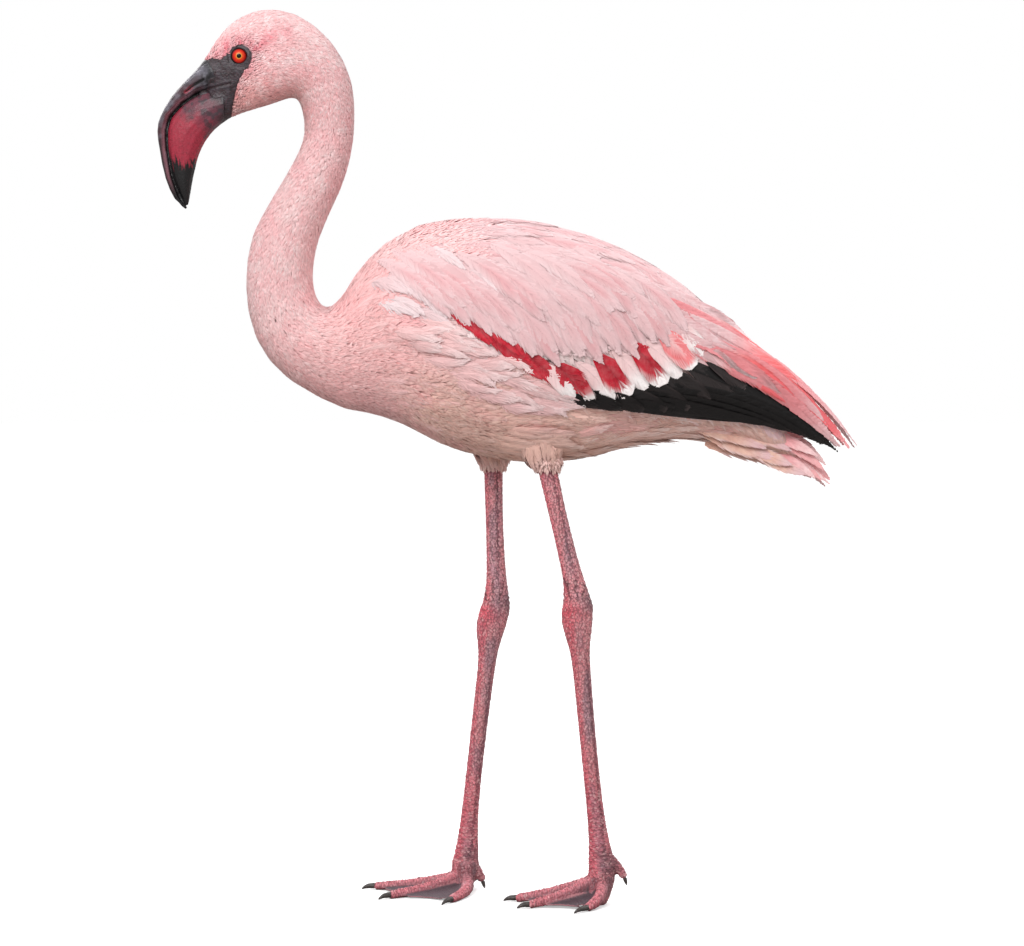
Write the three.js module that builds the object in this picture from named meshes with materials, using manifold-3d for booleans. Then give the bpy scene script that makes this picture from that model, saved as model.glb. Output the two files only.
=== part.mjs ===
// A lesser flamingo standing on both legs, life size, in millimetres, +Z up.
// It looks along -X, its left side is towards -Y, and the floor is z = 0.
// The feathered flesh is one swept form from undertail to forehead, which thin cuts part into trunk, neck and head.

import * as THREE from "three";
import { mergeVertices } from "three/addons/utils/BufferGeometryUtils.js";
import Module from "manifold-3d";

const wasm = await Module();
wasm.setup();

// ---------------------------------------------------------------- driving dimensions

const GAP = 0.3; // left between neighbouring pieces
const SMOOTHING = 0.18; // slivers thinner than this are taken out of the finished pieces
const WING_DEPTH = 8; // how deep the closed wing lies in the flank
const WING_PROUD = 2.5; // how far its coverts stand out of the flank
const WING_MIDLINE_GAP = 6; // each wing starts this far from the midline
const PLUMAGE_ROUNDNESS = 2.15; // exponent of the flesh's oval sections
const BACK_BREADTH = 0.06; // how much broader the back half of a section is than the belly half
const SIDES = { left: -1, right: 1 }; // signs along Y

// Stations of a swept form: [topX, topZ, bottomX, bottomZ, half width]. The ring there spans top to bottom.
const TRUNK_STATIONS = [
  [266, 392, 268, 389, 3], // tips of the undertail coverts
  [238, 440, 242, 398.5, 20],
  [204, 499, 206, 412, 34], // rump
  [168, 541, 165, 416, 46],
  [121, 573, 118, 411, 58],
  [72, 595, 69, 398, 68],
  [19, 608, 19, 394, 74], // over the legs
  [-30, 610, -21, 399, 76],
  [-69, 606, -56, 409, 73],
  [-101, 595, -89, 426, 64],
  [-129, 571, -120, 437.5, 51], // breast
];
const NECK_STATIONS = [
  [-148, 542, -151, 444, 42], // root of the neck
  [-162, 531, -199, 471, 34.5],
  [-172, 540, -225, 505, 31],
  [-176, 560, -234, 548, 28.5],
  [-172, 588, -229, 593, 27],
  [-162, 614, -213, 625, 25.3],
  [-149, 642, -195, 655, 23.3],
  [-141, 670, -183, 679, 22],
  [-138, 698, -181, 698, 21.5],
];
const HEAD_STATIONS = [
  [-140, 732, -186, 718, 22], // nape and throat
  [-155.5, 765.5, -194, 721, 22.5],
  [-183, 790, -210, 715, 22.5],
  [-214, 798, -226, 710, 21],
  [-241, 789, -238, 706, 18.2], // crown
  [-257, 774, -247, 702, 15],
  [-269, 755, -254, 699, 12.6], // forehead and chin
];
const UPPER_BILL_STATIONS = [
  [-269.6, 755, -250.5, 728, 15.6], // forehead and corner of the mouth
  [-278, 744, -264, 726.5, 12.6],
  [-289, 733, -277, 723, 9.8],
  [-301, 719, -291, 714.5, 8],
  [-310, 703, -302, 703, 7.2],
  [-313, 690, -305, 692, 6.8],
  [-311, 673, -304.5, 675, 6],
  [-306, 648, -300.5, 650, 5],
  [-298, 630, -294.5, 631, 3.6],
  [-288.5, 620.6, -287, 622, 0.9],
];
const LOWER_BILL_STATIONS = [
  [-250.5, 727, -253, 699, 15.6], // corner of the mouth and chin
  [-264, 725.5, -262, 692, 14.4],
  [-277, 721.8, -270.5, 681.5, 13.6],
  [-290, 713.6, -276.5, 669.5, 12.6],
  [-300.5, 702, -279.5, 658.5, 11.5],
  [-303.8, 690, -282, 648, 10.2],
  [-303.3, 674, -283.8, 638, 8.4],
  [-299.4, 650, -285.2, 630, 6],
  [-288.5, 623.5, -286.6, 624.2, 1.2],
];
const TAIL_STATIONS = [
  [203, 452, 203, 424, 20],
  [232, 436, 235, 404, 25],
  [263, 420, 261, 390, 26],
  [281.5, 403, 277, 382, 20],
  [292, 376, 289.5, 373, 6],
];
// Long feathers of the closed wing: the same, then how far out the top and the bottom edge lie.
const PRIMARY_STATIONS = [
  [58, 472, 62, 449, 1.5, 68, 64],
  [90, 485, 90, 441, 2.6, 66, 60],
  [127, 494, 127, 437, 2.8, 59, 55],
  [165, 495, 165, 436, 2.8, 49, 47],
  [202, 484, 202, 431, 2.5, 36, 37],
  [240, 462, 240, 424, 2.1, 24, 27],
  [270, 436, 270, 413, 1.6, 15, 17],
  [296.5, 402.5, 297, 400, 0.8, 9, 10],
];
const TERTIAL_STATIONS = [
  [118, 577, 118, 521, 3.4, 16, 52],
  [165, 547, 160, 503, 3.6, 9, 49],
  [210, 510, 196, 478, 3.4, 5, 43],
  [241, 489, 232, 460, 3, 4, 34],
  [265, 466, 252, 445, 2.6, 4, 26],
  [281, 442, 272, 427, 2, 4.5, 19],
  [299, 421, 295, 412, 1.5, 5.5, 14],
  [314, 408, 313, 406, 0.7, 7, 9],
];
// Outline of the closed wing, seen from the side: [x, z], from the shoulder along its lower edge and back.
const WING_OUTLINE = [
  [-114, 552],
  [-112, 512],
  [-82, 499],
  [-25, 484],
  [30, 463],
  [72, 447],
  [115, 441],
  [150, 448],
  [182, 470],
  [206, 502],
  [214, 520],
  [190, 640],
  [-62, 640],
];
// Cuts across the neck, from the head down: [x, z, lean].
const NECK_CUTS = [
  [-161, 716, 0],
  [-186, 635, 0.45],
  [-205, 545, 0.1],
  [-157, 488, 1.62],
];
const EYE = { x: -238, y: 12.6, z: 754.7, radius: 8.4 };

// A leg runs hip, ankle, foot root, each [x, y, z], and then out to the tips of the toes, each [x, y, bow back].
// The left leg is drawn back with its heel raised, the right one stands flatter. Both feet turn to the left.
// The hind toe's tip is [x, z] from the foot's root.
const LEGS = {
  left: {
    hip: [31.8, -31, 404],
    ankle: [62.2, -32, 267],
    root: [84.2, -32, 34],
    arch: 1.35,
    hind: [20, -10],
    toes: { inner: [-4, -25, 0], middle: [8, -56, 0], outer: [58, -76, 9] },
  },
  right: {
    hip: [-13.6, 31, 404],
    ankle: [-11.6, 31, 258.5],
    root: [-39, 30, 24],
    arch: 2,
    hind: [15.5, -16],
    toes: { outer: [-134, 25, 0], middle: [-116.5, -20, 0], inner: [-59, -42, 10] },
  },
};
// Along each limb: [share of its length, half depth front to back, half width, step of the middle backwards].
const THIGH_PROFILE = [
  [-0.25, 27, 19, 3],
  [0, 18, 14, 1],
  [0.1, 12.5, 11, 0],
];
const SHIN_PROFILE = [
  [0.06, 8.6, 7.2, 0],
  [0.35, 7.8, 6.4, 0.2],
  [0.65, 8.1, 6.6, 0.9],
  [0.83, 9.4, 7.6, 1.5],
  [0.94, 11.8, 9.4, 1.2],
  [1, 13.6, 10.2, 0],
];
const SHANK_PROFILE = [
  [0, 13.6, 10.2, 0],
  [0.05, 13.8, 10.2, -1.6],
  [0.1, 12.2, 9.2, -2.1],
  [0.16, 9.3, 7.6, -2],
  [0.25, 7.8, 6.4, -1.8],
  [0.5, 7.1, 5.8, -2],
  [0.76, 7.2, 5.9, -1.5],
  [0.9, 8.9, 7.4, -0.6],
  [1, 12, 9.8, 0],
];
const TOE = { drop: 12, tipHeight: 3.1, baseRadius: 6.6, tipRadius: 3.7 }; // drop: from the foot's root
const CLAW = { length: 11.5, radius: 3.1 };
const WEB = { from: 0.12, halfThickness: 0.8, notch: 0.12, sag: 2.2 }; // shares of the toes' length
const HIND = { root: [3.5, 18, 6], knuckle: [0.66, 10, 4], tipRadius: 3.3, claw: [1.8, -6.5] };

// ---------------------------------------------------------------- solids from three.js geometry

// A three.js geometry with one vertex at each corner.
function welded(geometry) {
  const bare = geometry.clone();
  bare.deleteAttribute("normal");
  bare.deleteAttribute("uv");
  return mergeVertices(bare, 1e-3);
}

// A welded geometry as a manifold-3d solid, its faces turned where the mapping of its vertices mirrored it.
function solidFrom(geometry) {
  const vertProperties = geometry.getAttribute("position").array;
  const make = (triVerts) => new wasm.Manifold(new wasm.Mesh({ numProp: 3, vertProperties, triVerts }));
  const solid = make(new Uint32Array(geometry.index.array));
  if (solid.volume() > 0) return solid;
  return make(new Uint32Array(geometry.index.array).reverse());
}

// A closed tube: a cylinder whose vertices go to place(t, angle, r), with t 0 to 1 along it and r 0 on its axis.
function tube(sides, steps, place) {
  const geometry = welded(new THREE.CylinderGeometry(1, 1, 1, sides, steps));
  const position = geometry.getAttribute("position");
  for (let i = 0; i < position.count; i++) {
    const r = Math.hypot(position.getX(i), position.getZ(i)) > 0.5 ? 1 : 0;
    const angle = r ? Math.atan2(position.getZ(i), position.getX(i)) : 0;
    const point = place(position.getY(i) + 0.5, angle, r);
    position.setXYZ(i, point.x, point.y, point.z);
  }
  return solidFrom(geometry);
}

const curveThrough = (points) => new THREE.CatmullRomCurve3(points, false, "catmullrom", 0.5);

// Cosine and sine of an angle on a rounded oval instead of a circle.
function oval(angle, roundness) {
  const bend = (v) => Math.sign(v) * Math.abs(v) ** (2 / roundness);
  return [bend(Math.cos(angle)), bend(Math.sin(angle))];
}

// A solid through stations, its rings spanning top to bottom. grow moves the whole surface out.
function through(stations, { sides, steps, side = 0, roundness = 2, broader = 0, grow = 0 }) {
  const top = curveThrough(stations.map(([x, z, , , , y = 0]) => new THREE.Vector3(x, side * y, z)));
  const bottom = curveThrough(stations.map(([, , x, z, , , y = 0]) => new THREE.Vector3(x, side * y, z)));
  const width = curveThrough(stations.map(([, , , , half]) => new THREE.Vector3(half, 0, 0)));
  const middleAt = (t) => top.getPoint(t).add(bottom.getPoint(t)).multiplyScalar(0.5);
  const spacing = 0.5 / (stations.length - 1);
  return tube(sides, steps, (t, angle, r) => {
    const upright = top.getPoint(t).sub(bottom.getPoint(t)).multiplyScalar(0.5);
    const onward = middleAt(Math.min(1, t + spacing)).sub(middleAt(Math.max(0, t - spacing)));
    const outward = upright.clone().cross(onward).normalize();
    const [up, out] = oval(angle, roundness);
    const half = width.getPoint(t).x + grow;
    const pastEnd = grow * ((t === 1) - (t === 0));
    return middleAt(t)
      .addScaledVector(upright, r * up * (1 + grow / upright.length()))
      .addScaledVector(outward, r * out * half * (1 + broader * up))
      .addScaledVector(onward.normalize(), pastEnd);
  });
}

// A solid along a limb from one joint to the next, by a profile over its length.
function limb(from, to, profile, sides, grow = 0) {
  const start = new THREE.Vector3(...from);
  const reach = new THREE.Vector3(...to).sub(start);
  const share = curveThrough(profile.map(([s, depth, half]) => new THREE.Vector3(s, depth, half)));
  const shift = curveThrough(profile.map(([, , , back]) => new THREE.Vector3(back, 0, 0)));
  return tube(sides, 2 * (profile.length - 1), (t, angle, r) => {
    const { x: along, y: depth, z: half } = share.getPoint(t);
    const pastEnd = (grow * ((t === 1) - (t === 0))) / reach.length();
    const forward = r * (depth + grow) * Math.cos(angle) + shift.getPoint(t).x;
    return start
      .clone()
      .addScaledVector(reach, along + pastEnd)
      .add(new THREE.Vector3(forward, r * (half + grow) * Math.sin(angle), 0));
  });
}

// A round solid along points [x, y, z, radius].
function finger(points, sides, grow = 0) {
  const line = curveThrough(points.map(([x, y, z]) => new THREE.Vector3(x, y, z)));
  const size = curveThrough(points.map(([, , , radius]) => new THREE.Vector3(radius, 0, 0)));
  const flatwise = new THREE.Vector3(0, 1, 0.4).normalize();
  return tube(sides, 2 * (points.length - 1), (t, angle, r) => {
    const ahead = line.getTangent(t);
    const sideways = ahead.clone().cross(flatwise).normalize();
    const across = sideways.clone().cross(ahead).normalize();
    const radius = r * (size.getPoint(t).x + grow);
    return line
      .getPoint(t)
      .addScaledVector(sideways, radius * Math.cos(angle))
      .addScaledVector(across, radius * Math.sin(angle))
      .addScaledVector(ahead, grow * ((t === 1) - (t === 0)));
  });
}

// A thin plate that parts one form into two.
function cutPlate(x, z, lean) {
  const plate = new THREE.BoxGeometry(130, 130, GAP);
  plate.rotateY(lean);
  plate.translate(x, 0, z);
  return solidFrom(welded(plate));
}

const largest = (solid) => solid.decompose().sort((a, b) => b.volume() - a.volume())[0];
const without = (solid, ...others) => others.reduce((left, other) => left.subtract(other), solid);

// The body of a parted solid whose middle is nearest to a place.
function bodyNear(solid, x, z) {
  const away = (body) => {
    const { min, max } = body.boundingBox();
    return Math.hypot((min[0] + max[0]) / 2 - x, (min[2] + max[2]) / 2 - z);
  };
  return solid.decompose().sort((a, b) => away(a) - away(b))[0];
}

// ---------------------------------------------------------------- flesh, wings, bill, tail and long feathers

const FLESH_STATIONS = [...TRUNK_STATIONS, ...NECK_STATIONS, ...HEAD_STATIONS];
const flesh = (grow = 0) =>
  through(FLESH_STATIONS, {
    sides: 18,
    steps: 48,
    roundness: PLUMAGE_ROUNDNESS,
    broader: BACK_BREADTH,
    grow,
  });

// The side region of a wing as a prism, from near the midline outwards.
function wingRegion(side, grow) {
  const outline = new THREE.Shape(WING_OUTLINE.map(([x, z]) => new THREE.Vector2(x, z)));
  const bevel = { bevelEnabled: grow > 0, bevelThickness: grow, bevelSize: grow, bevelSegments: 1 };
  const prism = new THREE.ExtrudeGeometry(outline, { depth: 120, ...bevel });
  prism.rotateX(Math.PI / 2);
  prism.translate(0, side > 0 ? 120 + WING_MIDLINE_GAP : -WING_MIDLINE_GAP, 0);
  return solidFrom(welded(prism));
}

const wing = (side, grow = 0) =>
  wingRegion(side, grow)
    .intersect(flesh(WING_PROUD + grow))
    .subtract(flesh(-WING_DEPTH - grow));

const primaries = (side, grow = 0) => through(PRIMARY_STATIONS, { sides: 6, steps: 7, side, grow });
const tertials = (side, grow = 0) => through(TERTIAL_STATIONS, { sides: 6, steps: 7, side, grow });
const upperBill = (grow = 0) => through(UPPER_BILL_STATIONS, { sides: 12, steps: 18, roundness: 2.2, grow });
const lowerBill = (grow = 0) => through(LOWER_BILL_STATIONS, { sides: 12, steps: 16, roundness: 2.3, grow });

function eyeball(side, grow = 0) {
  const ball = new THREE.SphereGeometry(EYE.radius + grow, 10, 7);
  ball.translate(EYE.x, side * EYE.y, EYE.z);
  return solidFrom(welded(ball));
}

const fleshAround = flesh(GAP);
const bothSides = (make) => Object.values(SIDES).map((side) => make(side, GAP));
const plates = NECK_CUTS.map(([x, z, lean]) => cutPlate(x, z, lean));
const parted = without(
  flesh(),
  ...bothSides(wing),
  ...bothSides(eyeball),
  ...plates,
  upperBill(GAP),
  lowerBill(GAP),
);
const tail = without(
  through(TAIL_STATIONS, { sides: 12, steps: 8, roundness: 2.3 }),
  fleshAround,
  ...bothSides(primaries),
  ...bothSides(tertials),
);

// ---------------------------------------------------------------- legs and feet

const FLOOR_BLOCK = new THREE.BoxGeometry(900, 400, 200).translate(0, 0, -100);
const floorBlock = solidFrom(welded(FLOOR_BLOCK));

// The toe's line from the foot's root to where its claw starts, as points [x, y, z, radius].
function toeLine({ root, arch }, [tipX, tipY, bow]) {
  const drop = root[2] - TOE.drop - TOE.tipHeight;
  const length = 1 - CLAW.length / Math.hypot(tipX - root[0], tipY - root[1]);
  return [0, 0.28, 0.62, 1].map((along) => {
    const share = along * length;
    return [
      root[0] + (tipX - root[0]) * share + 4 * bow * share * (1 - share),
      root[1] + (tipY - root[1]) * share,
      TOE.tipHeight + drop * (1 - along) ** arch,
      TOE.tipRadius + (TOE.baseRadius - TOE.tipRadius) * (1 - along),
    ];
  });
}

// A claw, curved down from the toe's end to the floor.
function claw(leg, tip, grow = 0) {
  const [x, y] = toeLine(leg, tip).at(-1);
  const at = (share, z, radius) => [x + (tip[0] - x) * share, y + (tip[1] - y) * share, z, radius];
  return finger([at(-0.15, 3.6, CLAW.radius), at(0.55, 3.5, CLAW.radius * 0.8), at(1, 0.9, 0.5)], 5, grow);
}

// The web between two toes: a thin plate that sags between them and is notched at its free edge.
function web(leg, tipA, tipB) {
  const [lineA, lineB] = [tipA, tipB].map((tip) =>
    curveThrough(toeLine(leg, tip).map(([x, y, z]) => new THREE.Vector3(x, y, z))),
  );
  return tube(6, 4, (t, angle, r) => {
    const across = r * Math.cos(angle);
    const middle = 1 - across ** 2;
    const share = THREE.MathUtils.lerp(WEB.from, 1 - WEB.notch * middle, t);
    const point = lineA.getPoint(share).lerp(lineB.getPoint(share), (across + 1) / 2);
    const sunk = Math.max(point.z - WEB.sag * middle, WEB.halfThickness);
    point.z = sunk + r * Math.sin(angle) * WEB.halfThickness;
    return point;
  });
}

// The short hind toe hangs behind the foot's root, clear of the floor.
const hindTip = ({ root: [x, y, z], hind }) => [x + hind[0], y, z + hind[1]];
function hindToe(leg) {
  const [x, y, z] = hindTip(leg);
  const [rootBack, rootUp, rootRadius] = HIND.root;
  const [share, up, radius] = HIND.knuckle;
  const back = leg.root[0];
  return finger(
    [
      [back + rootBack, y, z + rootUp, rootRadius],
      [back + (x - back) * share, y, z + up, radius],
      [x, y, z, HIND.tipRadius],
    ],
    7,
  );
}
function hindClaw(leg, grow = 0) {
  const [x, y, z] = hindTip(leg);
  const [back, down] = HIND.claw;
  const at = (share, radius) => [x + back * share, y, z + down * share, radius];
  return finger([at(0.1, 2.3), at(0.6, 1.8), at(1.15, 0.5)], 5, grow);
}

// The pad of the foot under the shank, from the root down to the floor.
const pad = ([x, y, z]) =>
  finger([[x, y, z + 1, 11.5], [x - 1, y, z * 0.55, 11.5], [x - 5, y - 4, -2, 7]], 8);

function legPieces(leg) {
  const { hip, ankle, root, toes } = leg;
  const thigh = without(limb(hip, ankle, THIGH_PROFILE, 12), fleshAround);
  const shin = without(limb(hip, ankle, SHIN_PROFILE, 9), limb(hip, ankle, THIGH_PROFILE, 12, GAP));
  const shank = limb(ankle, root, SHANK_PROFILE, 9).subtract(limb(hip, ankle, SHIN_PROFILE, 9, GAP));
  const toeSolids = Object.values(toes).map((tip) => finger(toeLine(leg, tip), 6));
  const webs = [web(leg, toes.outer, toes.middle), web(leg, toes.middle, toes.inner)];
  const foot = [pad(root), hindToe(leg), ...toeSolids, ...webs].reduce((all, piece) => all.add(piece));
  const clearances = [
    floorBlock,
    limb(ankle, root, SHANK_PROFILE, 9, GAP),
    hindClaw(leg, GAP),
    ...Object.values(toes).map((tip) => claw(leg, tip, GAP)),
  ];
  return {
    thigh: largest(thigh),
    shin: largest(shin),
    shank: largest(shank),
    foot: largest(without(foot, ...clearances)),
    claw_outer: claw(leg, toes.outer),
    claw_middle: claw(leg, toes.middle),
    claw_inner: claw(leg, toes.inner),
    claw_hind: hindClaw(leg),
  };
}

// ---------------------------------------------------------------- the bird

const finish = (color, roughness) => new THREE.MeshStandardMaterial({ color, roughness, metalness: 0 });
const PALE_PINK = finish(0xf0c4c4, 0.85);
const WING_PINK = finish(0xf3cfcf, 0.8);
const ROSE = finish(0xe98a8e, 0.75);
const BLACK_FEATHER = finish(0x1c1a1b, 0.55);
const LEG_SKIN = finish(0xb8747c, 0.6);
const BILL_DARK = finish(0x3a3038, 0.35);
const BILL_RED = finish(0x7a3542, 0.35);
const CLAW_HORN = finish(0x35302f, 0.4);
const EYE_RED = finish(0xd8481c, 0.1);

const bird = new THREE.Group();

function addPiece(name, solid, material) {
  const { vertProperties, triVerts, numProp } = solid.simplify(SMOOTHING).getMesh();
  const geometry = new THREE.BufferGeometry();
  geometry.setAttribute("position", new THREE.BufferAttribute(new Float32Array(vertProperties), numProp));
  geometry.setIndex(new THREE.BufferAttribute(new Uint32Array(triVerts), 1));
  const mesh = new THREE.Mesh(geometry, material);
  mesh.name = name;
  bird.add(mesh);
}

addPiece("head", bodyNear(parted, -205, 750), PALE_PINK);
addPiece("neck_upper", bodyNear(parted, -172, 675), PALE_PINK);
addPiece("neck_middle", bodyNear(parted, -200, 590), PALE_PINK);
addPiece("neck_lower", bodyNear(parted, -195, 500), PALE_PINK);
addPiece("trunk", bodyNear(parted, 50, 500), PALE_PINK);
addPiece("bill_upper", upperBill(), BILL_DARK);
addPiece("bill_lower", largest(without(lowerBill(), upperBill(GAP))), BILL_RED);
addPiece("tail", largest(tail), ROSE);

for (const [word, side] of Object.entries(SIDES)) {
  const blackBlade = without(primaries(side), fleshAround, wing(side, GAP));
  const roseBlade = without(tertials(side), fleshAround, wing(side, GAP), primaries(side, GAP));
  addPiece(`wing_${word}`, largest(wing(side)), WING_PINK);
  addPiece(`primaries_${word}`, largest(blackBlade), BLACK_FEATHER);
  addPiece(`tertials_${word}`, largest(roseBlade), ROSE);
  addPiece(`eye_${word}`, eyeball(side), EYE_RED);
}

const LEG_MATERIALS = {
  thigh: PALE_PINK,
  shin: LEG_SKIN,
  shank: LEG_SKIN,
  foot: LEG_SKIN,
  claw_outer: CLAW_HORN,
  claw_middle: CLAW_HORN,
  claw_inner: CLAW_HORN,
  claw_hind: CLAW_HORN,
};
for (const [word, leg] of Object.entries(LEGS)) {
  const pieces = legPieces(leg);
  for (const [part, material] of Object.entries(LEG_MATERIALS)) {
    addPiece(`${part}_${word}`, pieces[part], material);
  }
}

// The origin is on the floor under the middle of the bird's box.
const box = new THREE.Box3().setFromObject(bird);
const middle = box.getCenter(new THREE.Vector3());
bird.position.set(-middle.x, -middle.y, -box.min.z);

export default bird;
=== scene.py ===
"""A life-size lesser flamingo, in metres: one skin, feather coats, bill, eyes, scaled legs and a studio."""
import itertools
import math

import bmesh
import bpy
import numpy as np
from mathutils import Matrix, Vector
from mathutils.bvhtree import BVHTree


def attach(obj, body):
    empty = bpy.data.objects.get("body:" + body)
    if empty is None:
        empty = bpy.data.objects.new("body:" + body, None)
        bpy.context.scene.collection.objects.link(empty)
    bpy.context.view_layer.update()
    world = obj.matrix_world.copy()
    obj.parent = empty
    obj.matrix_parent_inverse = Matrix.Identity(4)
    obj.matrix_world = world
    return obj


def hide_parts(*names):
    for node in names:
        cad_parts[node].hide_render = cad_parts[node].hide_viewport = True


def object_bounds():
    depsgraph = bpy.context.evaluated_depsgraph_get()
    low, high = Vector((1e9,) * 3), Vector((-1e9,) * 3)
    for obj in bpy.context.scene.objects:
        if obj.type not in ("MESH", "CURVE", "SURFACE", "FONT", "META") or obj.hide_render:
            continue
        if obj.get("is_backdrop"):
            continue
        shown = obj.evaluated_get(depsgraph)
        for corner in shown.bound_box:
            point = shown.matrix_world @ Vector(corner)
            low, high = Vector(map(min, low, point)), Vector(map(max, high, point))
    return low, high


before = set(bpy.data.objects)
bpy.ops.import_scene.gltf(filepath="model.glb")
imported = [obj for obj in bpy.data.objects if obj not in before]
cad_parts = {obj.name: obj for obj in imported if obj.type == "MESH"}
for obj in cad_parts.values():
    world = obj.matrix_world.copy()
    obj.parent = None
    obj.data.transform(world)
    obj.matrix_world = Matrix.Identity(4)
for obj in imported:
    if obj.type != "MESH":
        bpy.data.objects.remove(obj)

cad_box = [list(corner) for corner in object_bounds()]
rng = np.random.default_rng(7)

MM = 0.001
ROW_SHIFT = -0.53  # from the drawing's X to the frame's X, in mm
SIDES = {"left": -1, "right": 1}
BAKE_PATCH = 0.003  # width of one tuft's patch on the coat's unwrap


# ------------------------------------------------------------------------------- numbers and colours


def smooth(lo, hi, v):
    t = np.clip((np.asarray(v, float) - lo) / (hi - lo), 0, 1)
    return t * t * (3 - 2 * t)


def mix(a, b, t):
    t = np.asarray(t)[..., None]
    return np.asarray(a) * (1 - t) + np.asarray(b) * t


def bell(x, width):
    """1 at x = 0, falling to nothing over a few widths."""
    return np.exp(-((x / width) ** 2))


def srgb(r, g, b):
    v = np.array([r, g, b]) / 255
    return np.where(v <= 0.04045, v / 12.92, ((v + 0.055) / 1.055) ** 2.4)


def unit(v):
    return v / np.maximum(np.linalg.norm(v, axis=-1, keepdims=True), 1e-12)


def lattice(cell, seed):
    i, j, k = (cell[..., axis] for axis in range(3))
    n = (i * 374761393 + j * 668265263 + k * 1442695041 + seed * 974634777) & 0x7FFFFFFF
    n = ((n ^ (n >> 13)) * 1274126177) & 0x7FFFFFFF
    return ((n ^ (n >> 16)) & 0xFFFF) / 65535


def cloud(p, size, seed=0):
    """Smooth value noise, 0 to 1, with lumps of about size metres."""
    q = np.asarray(p) / size
    cell = np.floor(q).astype(np.int64)
    t = q - cell
    t = t * t * (3 - 2 * t)
    total = 0
    for corner in itertools.product((0, 1), repeat=3):
        share = np.prod(np.where(corner, t, 1 - t), axis=-1)
        total = total + share * lattice(cell + np.array(corner), seed)
    return total


def frame_mm(points):
    """Drawing points [x, z] in mm as frame points [x, z] in metres."""
    return (np.asarray(points, float) + [ROW_SHIFT, 0]) * MM


def to_line(p, line):
    """For points [x, z], the nearest distance to a line, and how far along it that is, in segments."""
    a, b = line[:-1], line[1:]
    ab = b - a
    t = np.clip(((p[:, None] - a) * ab).sum(-1) / (ab * ab).sum(-1), 0, 1)
    away = np.linalg.norm(p[:, None] - (a + ab * t[..., None]), axis=-1)
    nearest = away.argmin(1)
    pick = np.arange(len(p)), nearest
    return away[pick], nearest + t[pick]


def inside(p, outline):
    """Which points [x, z] lie in a closed outline."""
    found = np.zeros(len(p), bool)
    for (ax, az), (bx, bz) in zip(outline, np.roll(outline, -1, axis=0)):
        crosses = (az > p[:, 1]) != (bz > p[:, 1])
        x = ax + (p[:, 1] - az) * (bx - ax) / ((bz - az) or 1e-12)
        found ^= crosses & (p[:, 0] < x)
    return found


WHITE = srgb(250, 244, 243)
PALE = srgb(240, 205, 205)
PINK = srgb(242, 184, 187)
CROWN_ROSE = srgb(230, 140, 150)
BREAST_PINK = srgb(234, 176, 174)
CHEEK = srgb(206, 140, 134)
BEIGE = srgb(224, 184, 166)
DUN_AND_SHADE = srgb(200, 156, 132)
WING_PALE = srgb(219, 185, 187)
WING_WHITE = srgb(231, 212, 214)
WING_PINK = srgb(212, 153, 157)
CRIMSON = srgb(190, 16, 42)
SALMON = srgb(236, 106, 112)
ORANGE_RED = srgb(214, 70, 62)
BLACK_VANE = srgb(8, 7, 8)
BROWN_VANE = srgb(50, 43, 43)
MASK_GREY = srgb(50, 48, 54)
MASK_DARK = srgb(20, 19, 22)
BILL_GREY = srgb(98, 96, 106)
BILL_BLACK = srgb(16, 15, 17)
BILL_LILAC = srgb(150, 92, 104)
BILL_PLUM = srgb(94, 48, 60)
BILL_RED = srgb(158, 40, 60)
LEG_ROSE = srgb(198, 130, 136)
LEG_MAUVE = srgb(154, 122, 132)
LEG_RED = srgb(204, 72, 90)
LEG_PALE = srgb(226, 178, 178)
LEG_DARK = srgb(96, 46, 58)
WEB_GREY = srgb(74, 64, 71)
CLAW_DARK = srgb(46, 42, 42)


# ------------------------------------------------------------------------------- studio

scene = bpy.context.scene
scene.view_settings.view_transform = "Standard"


def aim(obj, target):
    obj.rotation_euler = (Vector(target) - obj.location).to_track_quat("-Z", "Y").to_euler()


def add_camera():
    data = bpy.data.cameras.new("camera")
    data.lens = 89.96
    data.sensor_width = 36
    data.clip_end = 50
    camera = bpy.data.objects.new("camera", data)
    scene.collection.objects.link(camera)
    camera.location = (0.00315, -2.3, 0.5)
    aim(camera, (0.00315, 0, 0.384))
    scene.camera = camera


def add_light(name, place, size, power):
    data = bpy.data.lights.new(name, "AREA")
    data.shape = "DISK"
    data.size = size
    data.energy = power
    light = bpy.data.objects.new(name, data)
    scene.collection.objects.link(light)
    light.location = place
    aim(light, (0, 0, 0.45))


SKY_STRENGTH = 1.0


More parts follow.
